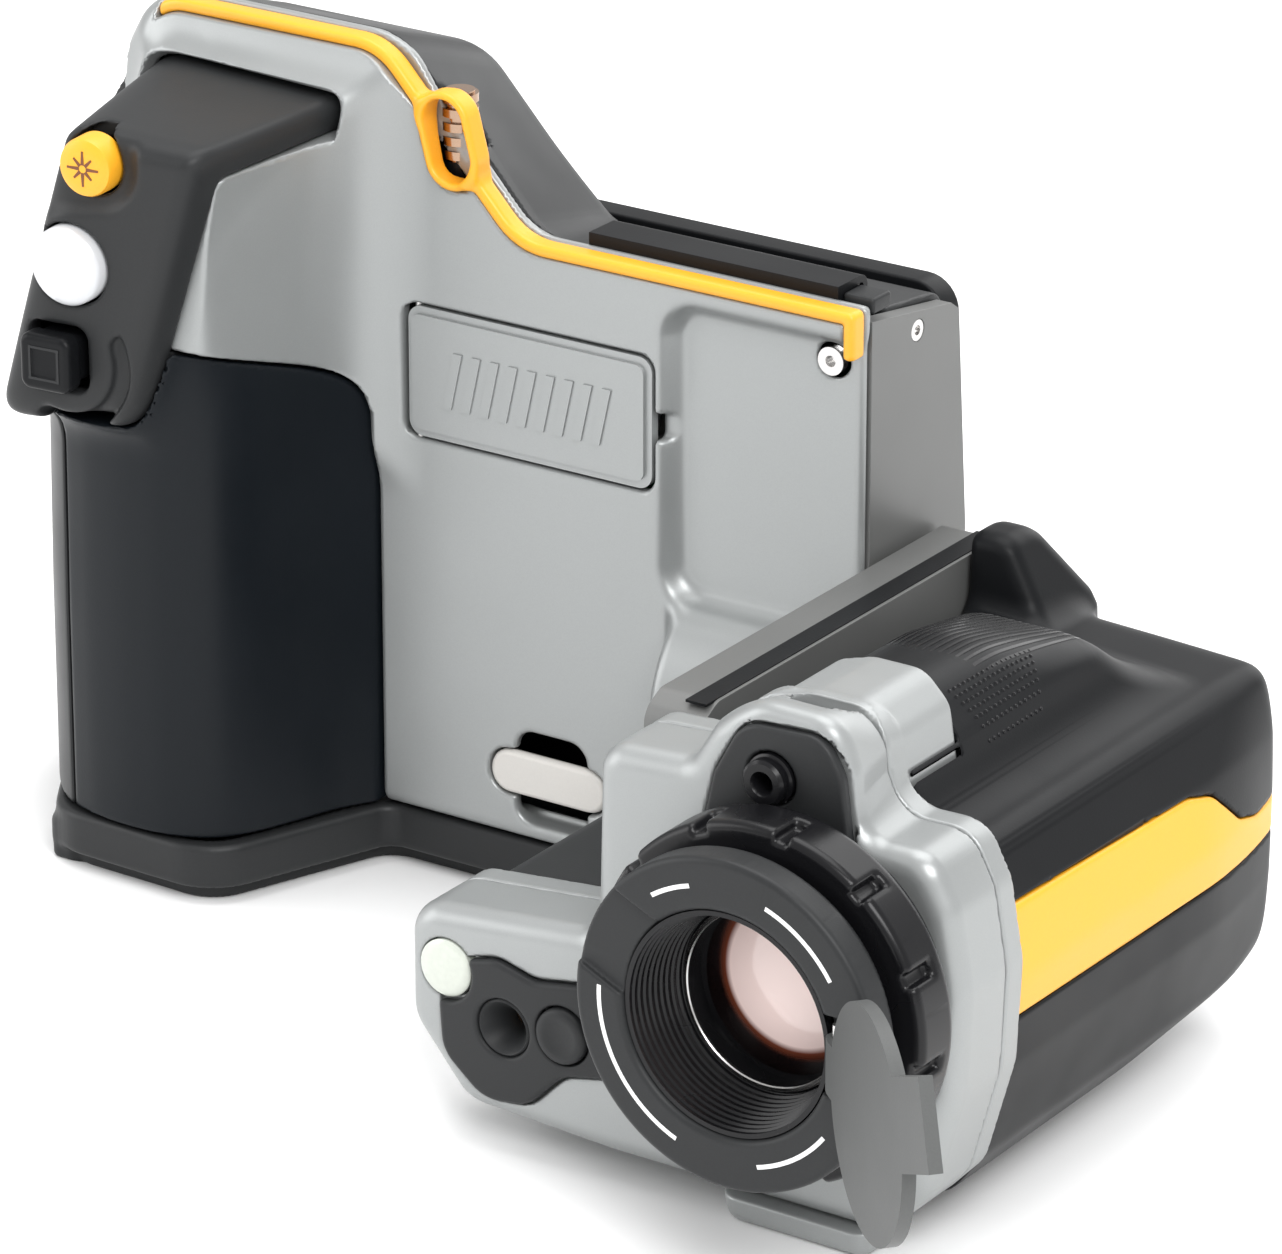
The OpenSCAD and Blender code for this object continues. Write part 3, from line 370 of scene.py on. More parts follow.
def lathe(name, profile, centre, axis, body, replaced, mat, steps=96, closed=True):
    """Turns a profile of (radius, distance along axis) round an axis through centre."""
    axis = unit(axis)
    side = unit(np.cross(axis, (0, 0, 1) if abs(axis[2]) < 0.9 else (1, 0, 0)))
    other = np.cross(axis, side)
    prof = np.array(profile, float)
    n = len(prof)
    verts = []
    for s in range(steps):
        a = 2 * math.pi * s / steps
        d = side * math.cos(a) + other * math.sin(a)
        verts += [np.array(centre) + d * r + axis * t for r, t in prof]
    faces = []
    for s in range(steps):
        for i in range(n if closed else n - 1):
            a, b = s * n + i, s * n + (i + 1) % n
            c, d = ((s + 1) % steps) * n + (i + 1) % n, ((s + 1) % steps) * n + i
            faces.append((a, b, c, d))
    bm = bmesh.new()
    vs = [bm.verts.new(v * MM) for v in verts]
    for f in faces:
        bm.faces.new([vs[i] for i in f])
    bmesh.ops.remove_doubles(bm, verts=bm.verts, dist=1e-6)
    bmesh.ops.dissolve_degenerate(bm, edges=bm.edges, dist=1e-7)
    bmesh.ops.recalc_face_normals(bm, faces=bm.faces)
    mesh = bpy.data.meshes.new(name)
    bm.to_mesh(mesh)
    bm.free()
    obj = bpy.data.objects.new(name, mesh)
    bpy.context.scene.collection.objects.link(obj)
    mesh.materials.append(mat)
    mesh.shade_smooth()
    mesh.set_sharp_from_angle(angle=math.radians(40))
    place(obj, body, replaced)
    return obj


# ---------------------------------------------------------------- materials

def material(name, color, rough=0.4, metal=0.0, grain=None, bump=0.0, mottle=0.0, rough_var=0.06, coat=0.0,
             specular=0.5):
    """A moulded or painted finish. Sizes are in millimetres."""
    m = bpy.data.materials.new(name)
    m.use_nodes = True
    nt = m.node_tree
    nodes, links = nt.nodes, nt.links
    p = nodes["Principled BSDF"]
    p.inputs["Metallic"].default_value = metal
    p.inputs["Roughness"].default_value = rough
    p.inputs["Specular IOR Level"].default_value = specular
    p.inputs["Coat Weight"].default_value = coat
    p.inputs["Coat Roughness"].default_value = 0.15
    tc = nodes.new("ShaderNodeTexCoord")

    def noise(size, detail=2.0):
        n = nodes.new("ShaderNodeTexNoise")
        n.inputs["Scale"].default_value = 1 / (size * MM)
        n.inputs["Detail"].default_value = detail
        links.new(tc.outputs["Object"], n.inputs["Vector"])
        return n

    def ramp(source, lo, hi, a, b):
        r = nodes.new("ShaderNodeMapRange")
        r.inputs["From Min"].default_value = lo
        r.inputs["From Max"].default_value = hi
        r.inputs["To Min"].default_value = a
        r.inputs["To Max"].default_value = b
        links.new(source, r.inputs["Value"])
        return r.outputs["Result"]

    wide = noise(22, 3)
    mix = nodes.new("ShaderNodeMix")
    mix.data_type = "RGBA"
    a = [min(1, c * (1 + mottle)) for c in color] + [1]
    b = [c * (1 - mottle) for c in color] + [1]
    mix.inputs["A"].default_value = b
    mix.inputs["B"].default_value = a
    speck = noise(grain or 0.5, 2)
    blend = nodes.new("ShaderNodeMath")
    blend.operation = "ADD"
    links.new(ramp(wide.outputs["Fac"], 0.3, 0.7, 0, 0.5), blend.inputs[0])
    links.new(ramp(speck.outputs["Fac"], 0.3, 0.7, 0, 0.5), blend.inputs[1])
    links.new(blend.outputs["Value"], mix.inputs["Factor"])
    links.new(mix.outputs["Result"], p.inputs["Base Color"])
    links.new(ramp(wide.outputs["Fac"], 0.3, 0.7, max(0.02, rough - rough_var), rough + rough_var),
              p.inputs["Roughness"])
    if bump:
        bn = nodes.new("ShaderNodeBump")
        bn.inputs["Strength"].default_value = bump
        bn.inputs["Distance"].default_value = 0.05 * MM
        links.new(speck.outputs["Fac"], bn.inputs["Height"])
        links.new(bn.outputs["Normal"], p.inputs["Normal"])
    return m


def element_material(name, inner, outer, centre, r0, r1):
    """A polished lens with a painted reflection in its base colour: a bright disc of inner round an off-axis
    centre, a dark ring of outer round it, and black at the rim, in x and z.
    """
    m = material(name, inner, 0.08, grain=3, mottle=0.01, rough_var=0.01, coat=0.6)
    nodes, links = m.node_tree.nodes, m.node_tree.links
    shader = nodes["Principled BSDF"]
    tc = next(n for n in nodes if n.bl_idname == "ShaderNodeTexCoord")
    place_at = nodes.new("ShaderNodeVectorMath")
    place_at.operation = "SUBTRACT"
    links.new(tc.outputs["Object"], place_at.inputs[0])
    place_at.inputs[1].default_value = (centre[0] * MM, 0, centre[1] * MM)
    flat = nodes.new("ShaderNodeVectorMath")
    flat.operation = "MULTIPLY"
    links.new(place_at.outputs[0], flat.inputs[0])
    flat.inputs[1].default_value = (1, 0, 1)
    length = nodes.new("ShaderNodeVectorMath")
    length.operation = "LENGTH"
    links.new(flat.outputs[0], length.inputs[0])
    # painted reflection: bright disc, then a dark ring, then black towards the lens's rim
    ramp = nodes.new("ShaderNodeValToRGB")
    stops = ramp.color_ramp.elements
    stops[0].position, stops[0].color = r0 / 20, (*inner, 1)
    stops[1].position, stops[1].color = r1 / 20, (0.006, 0.003, 0.003, 1)
    edge = stops.new((r0 + 0.9) / 20)
    edge.color = (*outer, 1)
    scaled = nodes.new("ShaderNodeMath")
    scaled.operation = "MULTIPLY"
    scaled.inputs[1].default_value = 1 / (20 * MM)
    links.new(length.outputs["Value"], scaled.inputs[0])
    links.new(scaled.outputs["Value"], ramp.inputs["Fac"])
    links.new(ramp.outputs["Color"], shader.inputs["Base Color"])
    return m


SILVER = material("silver_paint", (0.330, 0.342, 0.342), 0.38, 0.45, grain=0.16, bump=0.10, mottle=0.05)
GREY = material("grey_paint", (0.15, 0.152, 0.149), 0.44, 0.3, grain=0.16, bump=0.10, mottle=0.05)
CHARCOAL = material("charcoal_soft", (0.021, 0.022, 0.023), 0.44, specular=0.25, grain=0.30, bump=0.22,
                    mottle=0.10)
BLACK = material("black_satin", (0.0065, 0.007, 0.008), 0.40, specular=0.15, grain=0.30, bump=0.18,
                 mottle=0.12)
PANEL = material("battery_panel", (0.0055, 0.0075, 0.010), 0.38, specular=0.18, grain=0.28, bump=0.22,
                 mottle=0.12)
INKY = material("black_gloss", (0.006, 0.006, 0.007), 0.26, specular=0.28, grain=0.3, bump=0.05, mottle=0.1)
YELLOW = material("yellow_satin", (0.88, 0.40, 0.02), 0.38, grain=0.35, bump=0.06, mottle=0.04)
WHITE = material("pearl_white", (0.62, 0.63, 0.65), 0.22, grain=0.4, bump=0.03, mottle=0.02, coat=0.4)
IVORY = material("strap_bar_paint", (0.60, 0.58, 0.55), 0.38, grain=0.3, bump=0.08, mottle=0.03)
CAPGREY = material("cap_grey", (0.075, 0.078, 0.077), 0.48, grain=0.3, bump=0.2, mottle=0.08)
STEEL = material("steel", (0.62, 0.61, 0.60), 0.25, 1.0, grain=0.4, bump=0.05, mottle=0.05)
BRONZE = material("bronze_tip", (0.40, 0.27, 0.19), 0.24, 1.0, grain=0.4, bump=0.02, mottle=0.05)
BRASS = material("brass", (0.72, 0.50, 0.24), 0.3, 1.0, grain=0.4, bump=0.05, mottle=0.05)
GREEN = material("green_key", (0.04, 0.28, 0.12), 0.35, grain=0.4, bump=0.05, mottle=0.05)
BOARD = material("solder_mask", (0.03, 0.18, 0.08), 0.35, grain=0.4, bump=0.05, mottle=0.08)
ARC = material("arc_paint", (0.85, 0.85, 0.85), 0.5, grain=0.3, bump=0.05, mottle=0.02)
BROWN = material("brown_print", (0.16, 0.05, 0.015), 0.5, grain=0.3, bump=0.05, mottle=0.05)
LAMP = material("lamp_diffuser", (0.55, 0.58, 0.52), 0.18, grain=0.8, bump=0.25, mottle=0.06, coat=0.5)
# the lens's colour is a painted reflection: a bright pink disc off the axis with a dark crescent at its rim
GLASS = element_material("germanium_painted_reflection", (0.96, 0.76, 0.72), (0.16, 0.04, 0.02), (78.8, 40.4), 9.6, 11.9)


# ---------------------------------------------------------------- master shapes of the housing

FRONT, SPLIT, BACK, SKIRT, TOP, HEAD, END = -14, -9.6, 14, 9.2, 98.8, 123.2, 40.5
housing2 = Outline(rounded([
    (END, SKIRT, 0), (END, TOP, 1), (-13.5, TOP, 9), (-36.5, HEAD, 10), (-75, HEAD, 9), (-94, 94, 20),
    (-100.5, 50, 20), (-98, SKIRT, 0)]))
# the hand grip from above, smooth where the hand closes round it
grip2 = Outline(curve_through([
    (-36.6, -5), (-36.9, -12.4), (-38.9, -15.8), (-41.5, -20.6), (-43.9, -27.4), (-46.5, -33.8),
    (-50.2, -38.4), (-55.5, -40.8), (-60.6, -41.5), (-65.6, -41.4),
    (-70.4, -40.6), (-75.5, -38.6), (-80.5, -34.2),
    (-86.6, -26.2), (-92.6, -16.6), (-97.6, -7), (-99.8, 0), (-98.2, 8), (-92, 13.2), (-84, 14), (-38, 14),
    (-36.6, 6)]))
base2 = Outline(rounded([
    (END, BACK, 1), (END, FRONT + 1, 1), (-37, FRONT + 0.5, 3), (-48, -41.8, 9.5), (-76.5, -41, 9),
    (-101, -3, 11), (-97.5, BACK, 10)]))
nose_f = hull([(-70.5, -12, 111.8), (-45.5, -13.5, 111.4), (-48.6, -41.5, 109.8), (-64.3, -43.4, 110.6),
               (-74.2, -43.4, 74.6), (-60, -42.2, 74.8), (-55, -13, 80), (-83, -13, 76)], 4.6, 4.0)
cheek_f = hull([(-48.3, -39.4, 109), (-41.5, -12, 112), (-58, -38.3, 70), (-51.2, -36, 70),
                (-44.4, -19.5, 70), (-42, -11, 70), (-66, -11, 70), (-62, -11, 112)], 3.0, 3.0)
CHEEK_N = unit((0.942, -0.131, -0.307))
CHEEK_AT = np.array((-45.5, -42, 110.7))
NOSE_TURN = math.radians(-5)
NOSE_OUT = np.array((-math.sin(NOSE_TURN), -math.cos(NOSE_TURN), 0.0))
NOSE_SIDE = np.array((math.cos(NOSE_TURN), -math.sin(NOSE_TURN), 0.0))
LASER_AT = np.array((-61.8, -47.6, 109.5))
SAVE_AT = np.array((-65.8, -47.7, 94.5))
ZOOM_AT = np.array((-68.3, -47.8, 80.6))
# axis of the lens unit's shaft and radius of the drum round it, and the connector door's pin
TILT_Y, TILT_Z, DRUM_R = -2, 35, 19.5
DOOR_PIN = (-31.3, -12.8)


def on_face(x, y, z, at):
    """Place across, up and out of the nose's face, from a button's centre."""
    rx, ry = x - at[0], y - at[1]
    return rx * NOSE_SIDE[0] + ry * NOSE_SIDE[1], z - at[2], rx * NOSE_OUT[0] + ry * NOSE_OUT[1]


def cheek_side(x, y, z):
    """Negative to the right of the line where the nose's dark cover ends."""
    return -((x - CHEEK_AT[0]) * CHEEK_N[0] + (y - CHEEK_AT[1]) * CHEEK_N[1] + (z - CHEEK_AT[2]) * CHEEK_N[2])


def dark_zone(x, y, z):
    """Negative where the nose is dark: a band along its front and top, all its left side, and its foot."""
    behind = -on_face(x, y, z, LASER_AT)[2] - 6.3
    below = 116.2 - 0.055 * (-12 - y) - z - 6.0
    return np.minimum(np.minimum(smin(behind, below, 2.0), 3.5 - cheek_side(x, y, z)), door_top(x, y, z))


def plate(x, y, z):
    return prism(housing2(x, z), y, FRONT, BACK, 2.2)


def grip_master(x, y, z):
    g = prism(grip2(x, y), z, SKIRT - 3, 84, 2)
    lean = np.maximum(z - 40, 0) * 0.012
    return g + lean


def silver_master(x, y, z):
    body = smin(plate(x, y, z), smin(cheek_f(x, y, z), nose_f(x, y, z) + 0.2, 1.5), 11)
    drum = smax(disc(y, z, TILT_Y, TILT_Z, DRUM_R), np.maximum(11.8 - x, x - END), 2.0)
    return smin(body, drum, 2.5)


def under_nose(x, y, z):
    """The grip with the nose running into it."""
    return smin(grip_master(x, y, z), nose_f(x, y, z) + 0.6, 7)


def door_top(x, y, z):
    """Negative below the slanted top edge of the battery door and left of its right edge."""
    return smax(x + 38, (z - 74.3 - 0.31 * np.clip(FRONT - y, 0, 40)) * 0.955, 7)


def front_shell_f(x, y, z):
    d = silver_master(x, y, z)
    d = cut(d, door_top(x, y, z) - 0.15, 0.5)
    margin = 0.25 + 2.75 * np.clip((-16 - y) / 6, 0, 1)
    d = cut(d, smax(nose_f(x, y, z) - margin, dark_zone(x, y, z) - 0.12, 0.4), 0.4)
    d = smax(d, y - SPLIT + 0.12, 0.5)
    d = smax(d, SKIRT + 0.15 - z, 0.5)
    # the recess that the arm swings into
    recess = smax(np.maximum(rect(x, z, 10, 51, END + 20, TOP - 4.8, 5), -9), y - FRONT - 3, 2.5)
    d = cut(d, recess, 2.2)
    # seat of the yellow bead and of the oval round the stylus
    bead = np.maximum(np.maximum(-housing2(x, z) - 1.85, y - FRONT - 3), bead_zone(x, z) - 0.1)
    d = cut(d, bead, 0.4)
    d = cut(d, np.maximum(segment(x, z, OVAL[0], OVAL[1], 4.5), y - FRONT - 3), 0.4)
    # hollow inside, and the connector bay
    hollow = np.maximum(prism(housing2(x, z) + 4, y, FRONT + 2, 30, 1), -rect(x, z, 8, 49, 60, 130, 5))
    d = np.maximum(d, -np.maximum(hollow, -36 - x))
    d = cut(d, smax(rect(x, z, -33.3, 66.25, 8.4, 86.25, 2.4), y + 5, 1), 0.5)
    # room for the door's hinge edge to swing in
    d = cut(d, smax(disc(x, y, *DOOR_PIN, 1.95), np.abs(z - 76.25) - 9.4, 0.3), 0.3)
    d = cut(d, smax(disc(x, z, 9.3, 76, 1.9), y - FRONT - 2.4, 1), 0.7)
    # recess behind the strap bar
    d = cut(d, smax(rect(x, z, -15, 12, -3, 26, 3), y - FRONT - 3.4, 1), 0.9)
    d = cut(d, smax(rect(x, z, -19.6, 15.7, 0.6, 22.8, 3.5), y - FRONT - 1.9, 1), 0.5)
    # screw seat
    return cut(d, smax(disc(x, z, 35.2, 90.4, 2.4), y - FRONT - 4.2, 0.5), 0.5)


def head_cover_f(x, y, z):
    d = nose_f(x, y, z)
    # shallow dish round the laser button, open to the left, with a ledge below it
    su, sv, w = on_face(x, y, z, LASER_AT)
    ledge = smax(smax(segment(su, sv, (0.3, 0.4), (-12, -1.5), 6.2), -w - 1.7, 1.5), w - 8, 0.5)
    d = cut(d, ledge, 2.2)
    for at, rad in ((LASER_AT, 4.5), (SAVE_AT, 6.0)):
        su, sv, w = on_face(x, y, z, at)
        d = cut(d, smax(np.hypot(su, sv) - rad, np.abs(w) - 7, 0.5), 0.7)
    # crescent-shaped dish round the lower right of the zoom key, and the key's own well
    su, sv, w = on_face(x, y, z, ZOOM_AT)
    dish = smax(np.abs(np.hypot(su - 0.8, sv + 0.3) - 9.2) - 1.2, 3.6 - 0.707 * (su - sv), 1.2)
    d = cut(d, smax(dish, -1.3 - d, 0.8), 1.0)
    d = cut(d, smax(rect(su, sv, -4.8, -4.8, 4.8, 4.8, 2), np.abs(w) - 7, 1), 0.8)
    d = smax(d, dark_zone(x, y, z) + 0.08, 0.6)
    d = smax(d, y - SPLIT - 1, 0.5)
    return np.maximum(d, -(nose_f(x, y, z) + 2.2))


def battery_door_f(x, y, z):
    d = under_nose(x, y, z)
    zone = smax(door_top(x, y, z) + 0.3, -73.6 - x, 0.5)
    d = smax(d, zone, 0.5)
    d = smax(d, y - SPLIT + 0.4, 0.5)
    d = smax(d, SKIRT + 0.3 - z, 0.5)
    d = cut(d, nose_f(x, y, z) - 0.3, 0.5)
    return np.maximum(d, -(under_nose(x, y, z) + 2.4))


def grip_shell_f(x, y, z):
    d = under_nose(x, y, z)
    d = cut(d, nose_f(x, y, z) - 0.15, 0.8)
    d = smax(d, smax(x + 40, z - 84, 4), 0.5)
    door = smax(door_top(x, y, z) - 0.1, -73.95 - x, 0.5)
    d = cut(d, np.maximum(door, -(under_nose(x, y, z) + 2.6)), 0.4)
    d = smax(d, y - SPLIT + 0.12, 0.5)
    d = smax(d, SKIRT + 0.2 - z, 0.5)
    d = cut(d, smax(cheek_f(x, y, z) - 0.2, -door_top(x, y, z), 0.5), 0.5)
    inner = np.maximum(grip_master(x, y, z) + 4.8, z - 66)
    return np.maximum(d, -inner)


def rear_master(x, y, z):
    """The rear half, whose head and top slope down rearwards."""
    back = np.clip(y - SPLIT, 0, 40)
    right = np.clip((x + 27) / 22, 0, 1)
    right = right * right * (3 - 2 * right)
    drop = back * (0.34 - 0.22 * right) + right * 2.2 * np.clip(back / 3, 0, 1)
    d = prism(housing2(x, z + drop * np.clip((z - 60) / 30, 0, 1)), y, -30, BACK, 4.5) * 0.93
    return smax(d, base2(x, y), 3)


def rear_shell_f(x, y, z):
    whole = rear_master(x, y, z)
    d = smax(whole, SPLIT + 0.12 - y, 0.5)
    d = smax(d, SKIRT + 0.2 - z, 0.5)
    d = smax(d, x - END + 2.7, 0.5)
    d = np.maximum(d, -(whole + 2))
    d = cut(d, smax(rect(x, z, -37.5, 29.5, 35.5, 84.5, 2), -y, 0.5), 0.5)
    d = cut(d, smax(rect(x, z, -89.9, 63.1, -46.1, 111.9, 6), 12.3 - y, 0.5), 0.5)
    d = cut(d, smax(rect(x, y, -5.2, -10.8, 60, -2.4, 0.5), 90 - z, 0.5), 0.4)
    return cut(d, np.maximum(np.hypot(x - PEN[0], y - PEN[1]) - 3.5, 60 - z), 0.5)


def base_cover_f(x, y, z):
    d = prism(base2(x, y), z, 2.4, SKIRT - 0.25, 1.0)
    foot = prism(base2(x, y) + 2.4, z, 0, 5, 0.8)
    d = smin(d, foot, 1.0)
    lug = smax(smax(rect(x, y, -79, -39, -74.2, -29, 1.5), -z, 0.8), z - 6, 0.8)
    d = smin(d, lug, 1.5)
    d = np.maximum(d, -smax(smax(base2(x, y) + 2.6, 3.2 - z, 0.5), z - 30, 0.5))
    d = cut(d, smax(np.hypot(x, y) - 6, np.abs(z) - 30, 0.5), 0.5)
    return cut(d, smax(rect(x, y, -77.6, -37.6, -75.6, -32, 0.8), z - 3.4, 0.5), 0.5)


OVAL = ((-24.6, 108.2), (-26, 113.4))
PEN = (-27, -8.8)


def bead_zone(x, z):
    """Negative along the part of the top edge that the yellow bead follows."""
    return np.maximum(92 + np.clip(-x - 18, 0, 18) - z, -74.5 - x)


def bead_f(x, y, z):
    edge = np.abs(housing2(x, z) + 0.95) - 0.9
    d = smax(smax(edge, smax(FRONT - 0.35 - y, y - FRONT - 2.9, 0.8), 0.9), bead_zone(x, z), 0.6)
    oval = segment(x, z, OVAL[0], OVAL[1], 4.4)
    ring = smax(smax(oval, -(oval + 1.3), 0.8), smax(FRONT - 0.9 - y, y - FRONT - 2.9, 0.8), 0.8)
    d = smin(d, ring, 1.6)
    d = cut(d, smax(segment(x, z, OVAL[0], OVAL[1], 3.1), y + 3, 0.5), 0.6)
    return cut(d, np.hypot(x - PEN[0], y - PEN[1]) - 3.1, 0.4)


moulded("housing_front", front_shell_f, (-80, -46, 6), (44, -6, 127), 0.6, "housing", "front_shell",
        SILVER, keep=0.35)
moulded("nose_cover", head_cover_f, (-92, -52, 62), (-34, -6, 122), 0.5, "housing", "head_cover",
        CHARCOAL, keep=0.35)
moulded("battery_panel", battery_door_f, (-76, -46, 6), (-34, -6, 80), 0.6, "battery_door", "battery_door",
        PANEL, keep=0.3)
moulded("grip_side", grip_shell_f, (-104, -46, 6), (-34, -6, 92), 0.6, "housing", "grip_shell",
        CHARCOAL, keep=0.3)
moulded("housing_rear", rear_shell_f, (-104, -13, 6), (42, 17, 127), 0.7, "housing", "rear_shell",
        CHARCOAL, keep=0.3)
moulded("base", base_cover_f, (-104, -46, -2), (44, 17, 12), 0.6, "housing", "base_cover",
        CHARCOAL, keep=0.3)
moulded("yellow_bead", bead_f, (-78, -17, 92), (44, -9, 127), 0.35, "housing", "accent_strip",
        YELLOW, keep=0.4)

# ---------------------------------------------------------------- master shapes of the lens unit

# axis of the lens; front face, seam, collar's rear edge and rear end of the unit;
# centres of small round parts
LX, LZ = 76.5, 37.8
COVER_Y, SEAM_Y, COLLAR_Y, REAR_Y = -81, -70, -66, 11
LAMP_AT, NOZZLE_AT, EYE_AT, RELEASE_AT = (20.7, 24.2), (71.5, 63.6), (30.2, 18.2), (39.6, 19.6)
LENS_WAY = (0, 1, 0)
cover2 = Outline(rounded([
    (14.2, 32, 5), (14.2, 15.5, 6), (23, 5, 6), (46, 3.8, 3), (88, 3.8, 7), (94.6, 11, 6), (98.8, 26, 9),
    (99.5, 40, 9), (97.6, 51, 7), (94, 57.8, 5), (84, 57.6, 3.5), (83.4, 66, 5), (80.4, 74.6, 5),
    (68.5, 74.8, 6.5), (61.5, 68, 5), (58, 62.3, 2.5), (44.2, 61.5, 4), (43.6, 34.8, 3)]), 0.3)
hump2 = Outline(rounded([(58.6, 50, 0), (59.4, 62.5, 2), (64, 68.8, 4), (69.5, 70.4, 5), (77, 70.4, 4.5),
                         (80.9, 66.5, 4), (82.2, 58, 2), (82.4, 50, 0)]), 0.3)
shell2 = Outline(rounded([(51.4, 56.8, 3), (51.4, 3.5, 3), (88.5, 3.5, 6), (93.8, 10.5, 5), (97.4, 24, 8),
                          (98.4, 36, 8), (96.6, 45, 6), (92.4, 53.4, 5)]))
side2 = Outline(rounded([(-80, 0, 0), (-29, 0, 30), (REAR_Y, 13, 7), (REAR_Y, 55.3, 8), (-9, 57.8, 12),
                         (-80, 57.8, 0)]))
plan2 = Outline(rounded([(48, -80, 0), (101, -80, 0), (101, -15, 26), (93.5, REAR_Y, 8), (48, REAR_Y, 0)]))
bump2 = Outline(rounded([(53, 50, 0), (58, 60, 6), (66, 70, 9), (76, 69.6, 7), (81.8, 62, 6), (86, 50, 0)]))
bump_side2 = Outline(rounded([(-70, 40, 0), (-70, 70.2, 2), (-38, 68.4, 20), (-18, 63, 10), (-7, 54, 0),
                              (-7, 40, 0)]))
ridge2 = Outline(rounded([(50.8, 40, 0), (50.8, 66.4, 2), (57, 66.4, 4), (64, 54, 0), (64, 40, 0)]))
ridge_side2 = Outline(rounded([(-3, 40, 0), (-1.4, 67, 3), (6, 67, 5), (13, 56, 0), (13, 40, 0)]))
stripe2 = Outline(rounded([(-90, 31.2, 0), (13, 30.2, 0), (13, 35.2, 0), (-1, 35.4, 6), (-7, 37.2, 5),
                           (-14, 43, 5), (-20, 44.6, 8), (-90, 46.4, 0)]), 0.3, 20)
arm2 = Outline(rounded([(19.9, 20.6, 3), (20.4, 12.5, 5), (27, 7, 6), (34, 8, 5), (39.5, 13.6, 5),
                        (48, 15.4, 4), (62, 15.4, 0), (62, 27.5, 0), (42, 27.2, 5), (35, 26, 5),
                        (29, 27.6, 4), (24, 26.4, 3)]), 0.2, 6)
laser2 = Outline(rounded([(60, 50, 1), (84, 50, 1), (82, 66, 5), (79.2, 70.8, 4.5), (67, 70.2, 5),
                          (62.8, 62.5, 4)]), 0.2, 6)
arm_side2 = Outline(rounded([(-65.8, 31.8, 0), (-65.8, 7, 0), (-40, 6.5, 5), (-19.2, 30.4, 2),
                             (-21, 31.8, 2)]))


def rim(x, y, z):
    """Distance to the front outline, whose laser hump grows narrower rearwards."""
    narrow = 0.19 * np.clip(y - COVER_Y, 0, 15) * np.clip((z - 57) / 6, 0, 1) * np.clip((x - 72) / 6, 0, 1)
    return cover2(x + narrow, z)


def cover_f(x, y, z):
    d = prism(rim(x, y, z), y, COVER_Y, -55, 3.2)
    # the laser hump's top falls from the front face to the seam
    d = smax(d, (z - 70.4 - 0.404 * np.maximum(SEAM_Y - y, 0)) * 0.93, 5)
    d = smax(d, y - SEAM_Y + 0.1, 0.4)
    d = np.maximum(d, -np.maximum(rim(x, y, z) + 2.8, COVER_Y + 2.6 - y))
    d = cut(d, smax(disc(x, z, LX, LZ, 19.2), y + 60, 1), 0.6)
    d = cut(d, np.maximum(np.minimum(arm2(x, z), laser2(x, z)) - 0.25, y - COVER_Y - 1.2), 0.4)
    for at, r in ((LAMP_AT, 4.15), (NOZZLE_AT, 3.6), (EYE_AT, 4.3), (RELEASE_AT, 4.2)):
        d = cut(d, disc(x, z, *at, r), 0.4)
    return d


def collar_f(x, y, z):
    out = rim(x, y, z)
    band = smax(prism(out, y, SEAM_Y + 0.2, COLLAR_Y, 0.4), z - 70.5, 4)
    hump = prism(hump2(x, z), y, -72, -54, 0.7)
    d = smin(band, np.maximum(hump, SEAM_Y + 1 - y), 0.8)
    inner = np.maximum(out, hump2(x, z) * (y > -66.4)) + 2.4
    d = np.maximum(d, -np.maximum(np.maximum(inner, z - 68), y + 56))
    return np.maximum(d, -np.maximum(shell2(x, z) - 0.12, COLLAR_Y - y))


def unit_form(x, y, z):
    """The lens unit's black body with its raised block and the bump behind the laser."""
    d = smax(smax(shell2(x, z), side2(y, z), 4), plan2(x, y), 4)
    d = smin(d, smax(ridge2(x, z), ridge_side2(y, z), 2.5), 3)
    bump = smax(bump2(x, z), bump_side2(y, z), 4)
    d = smin(d, bump, 5)
    d = np.maximum(d, -np.maximum(hump2(x, z) - 0.15, y + 53.85))
    return smax(d, -65.9 - y, 0.4)


def upper_shell_f(x, y, z):
    d = unit_form(x, y, z)
    d = cut(d, np.minimum(z - 31.3, np.maximum(stripe2(y, z) - 0.12, 90 - x)), 0.4)
    return np.maximum(d, -(unit_form(x, y, z) + 2))


def lower_shell_f(x, y, z):
    d = unit_form(x, y, z)
    d = smax(d, z - 31.05, 0.4)
    d = cut(d, np.maximum(stripe2(y, z) - 0.12, 90 - x), 0.4)
    return np.maximum(d, -(unit_form(x, y, z) + 2))


def stripe_f(x, y, z):
    whole = unit_form(x, y, z)
    d = smax(smax(whole, stripe2(y, z) + 0.05, 0.5), 91 - x, 0.3)
    return np.maximum(d, -(whole + 1.9))


def arm_f(x, y, z):
    return cut(prism(arm_side2(y, z), x, 17.5, 41.55, 3.2), disc(y, z, TILT_Y, TILT_Z, 21.2), 0.4)


def camera_panel_f(x, y, z):
    d = prism(arm2(x, z), y, COVER_Y - 0.9, COVER_Y + 1, 0.7)
    d = smax(d, x - 56, 0.3)
    d = cut(d, disc(x, z, LX, LZ, 19.8), 0.4)
    d = cut(d, disc(x, z, *LAMP_AT, 4.5), 0.7)
    d = cut(d, disc(x, z, *EYE_AT, 4.1), 0.7)
    return cut(d, disc(x, z, *RELEASE_AT, 4.15), 0.5)


def laser_panel_f(x, y, z):
    d = prism(laser2(x, z), y, COVER_Y - 0.8, COVER_Y + 1, 0.6)
    d = cut(d, disc(x, z, LX, LZ, 19.8), 0.4)
    return cut(d, disc(x, z, *NOZZLE_AT, 3.65), 0.4)


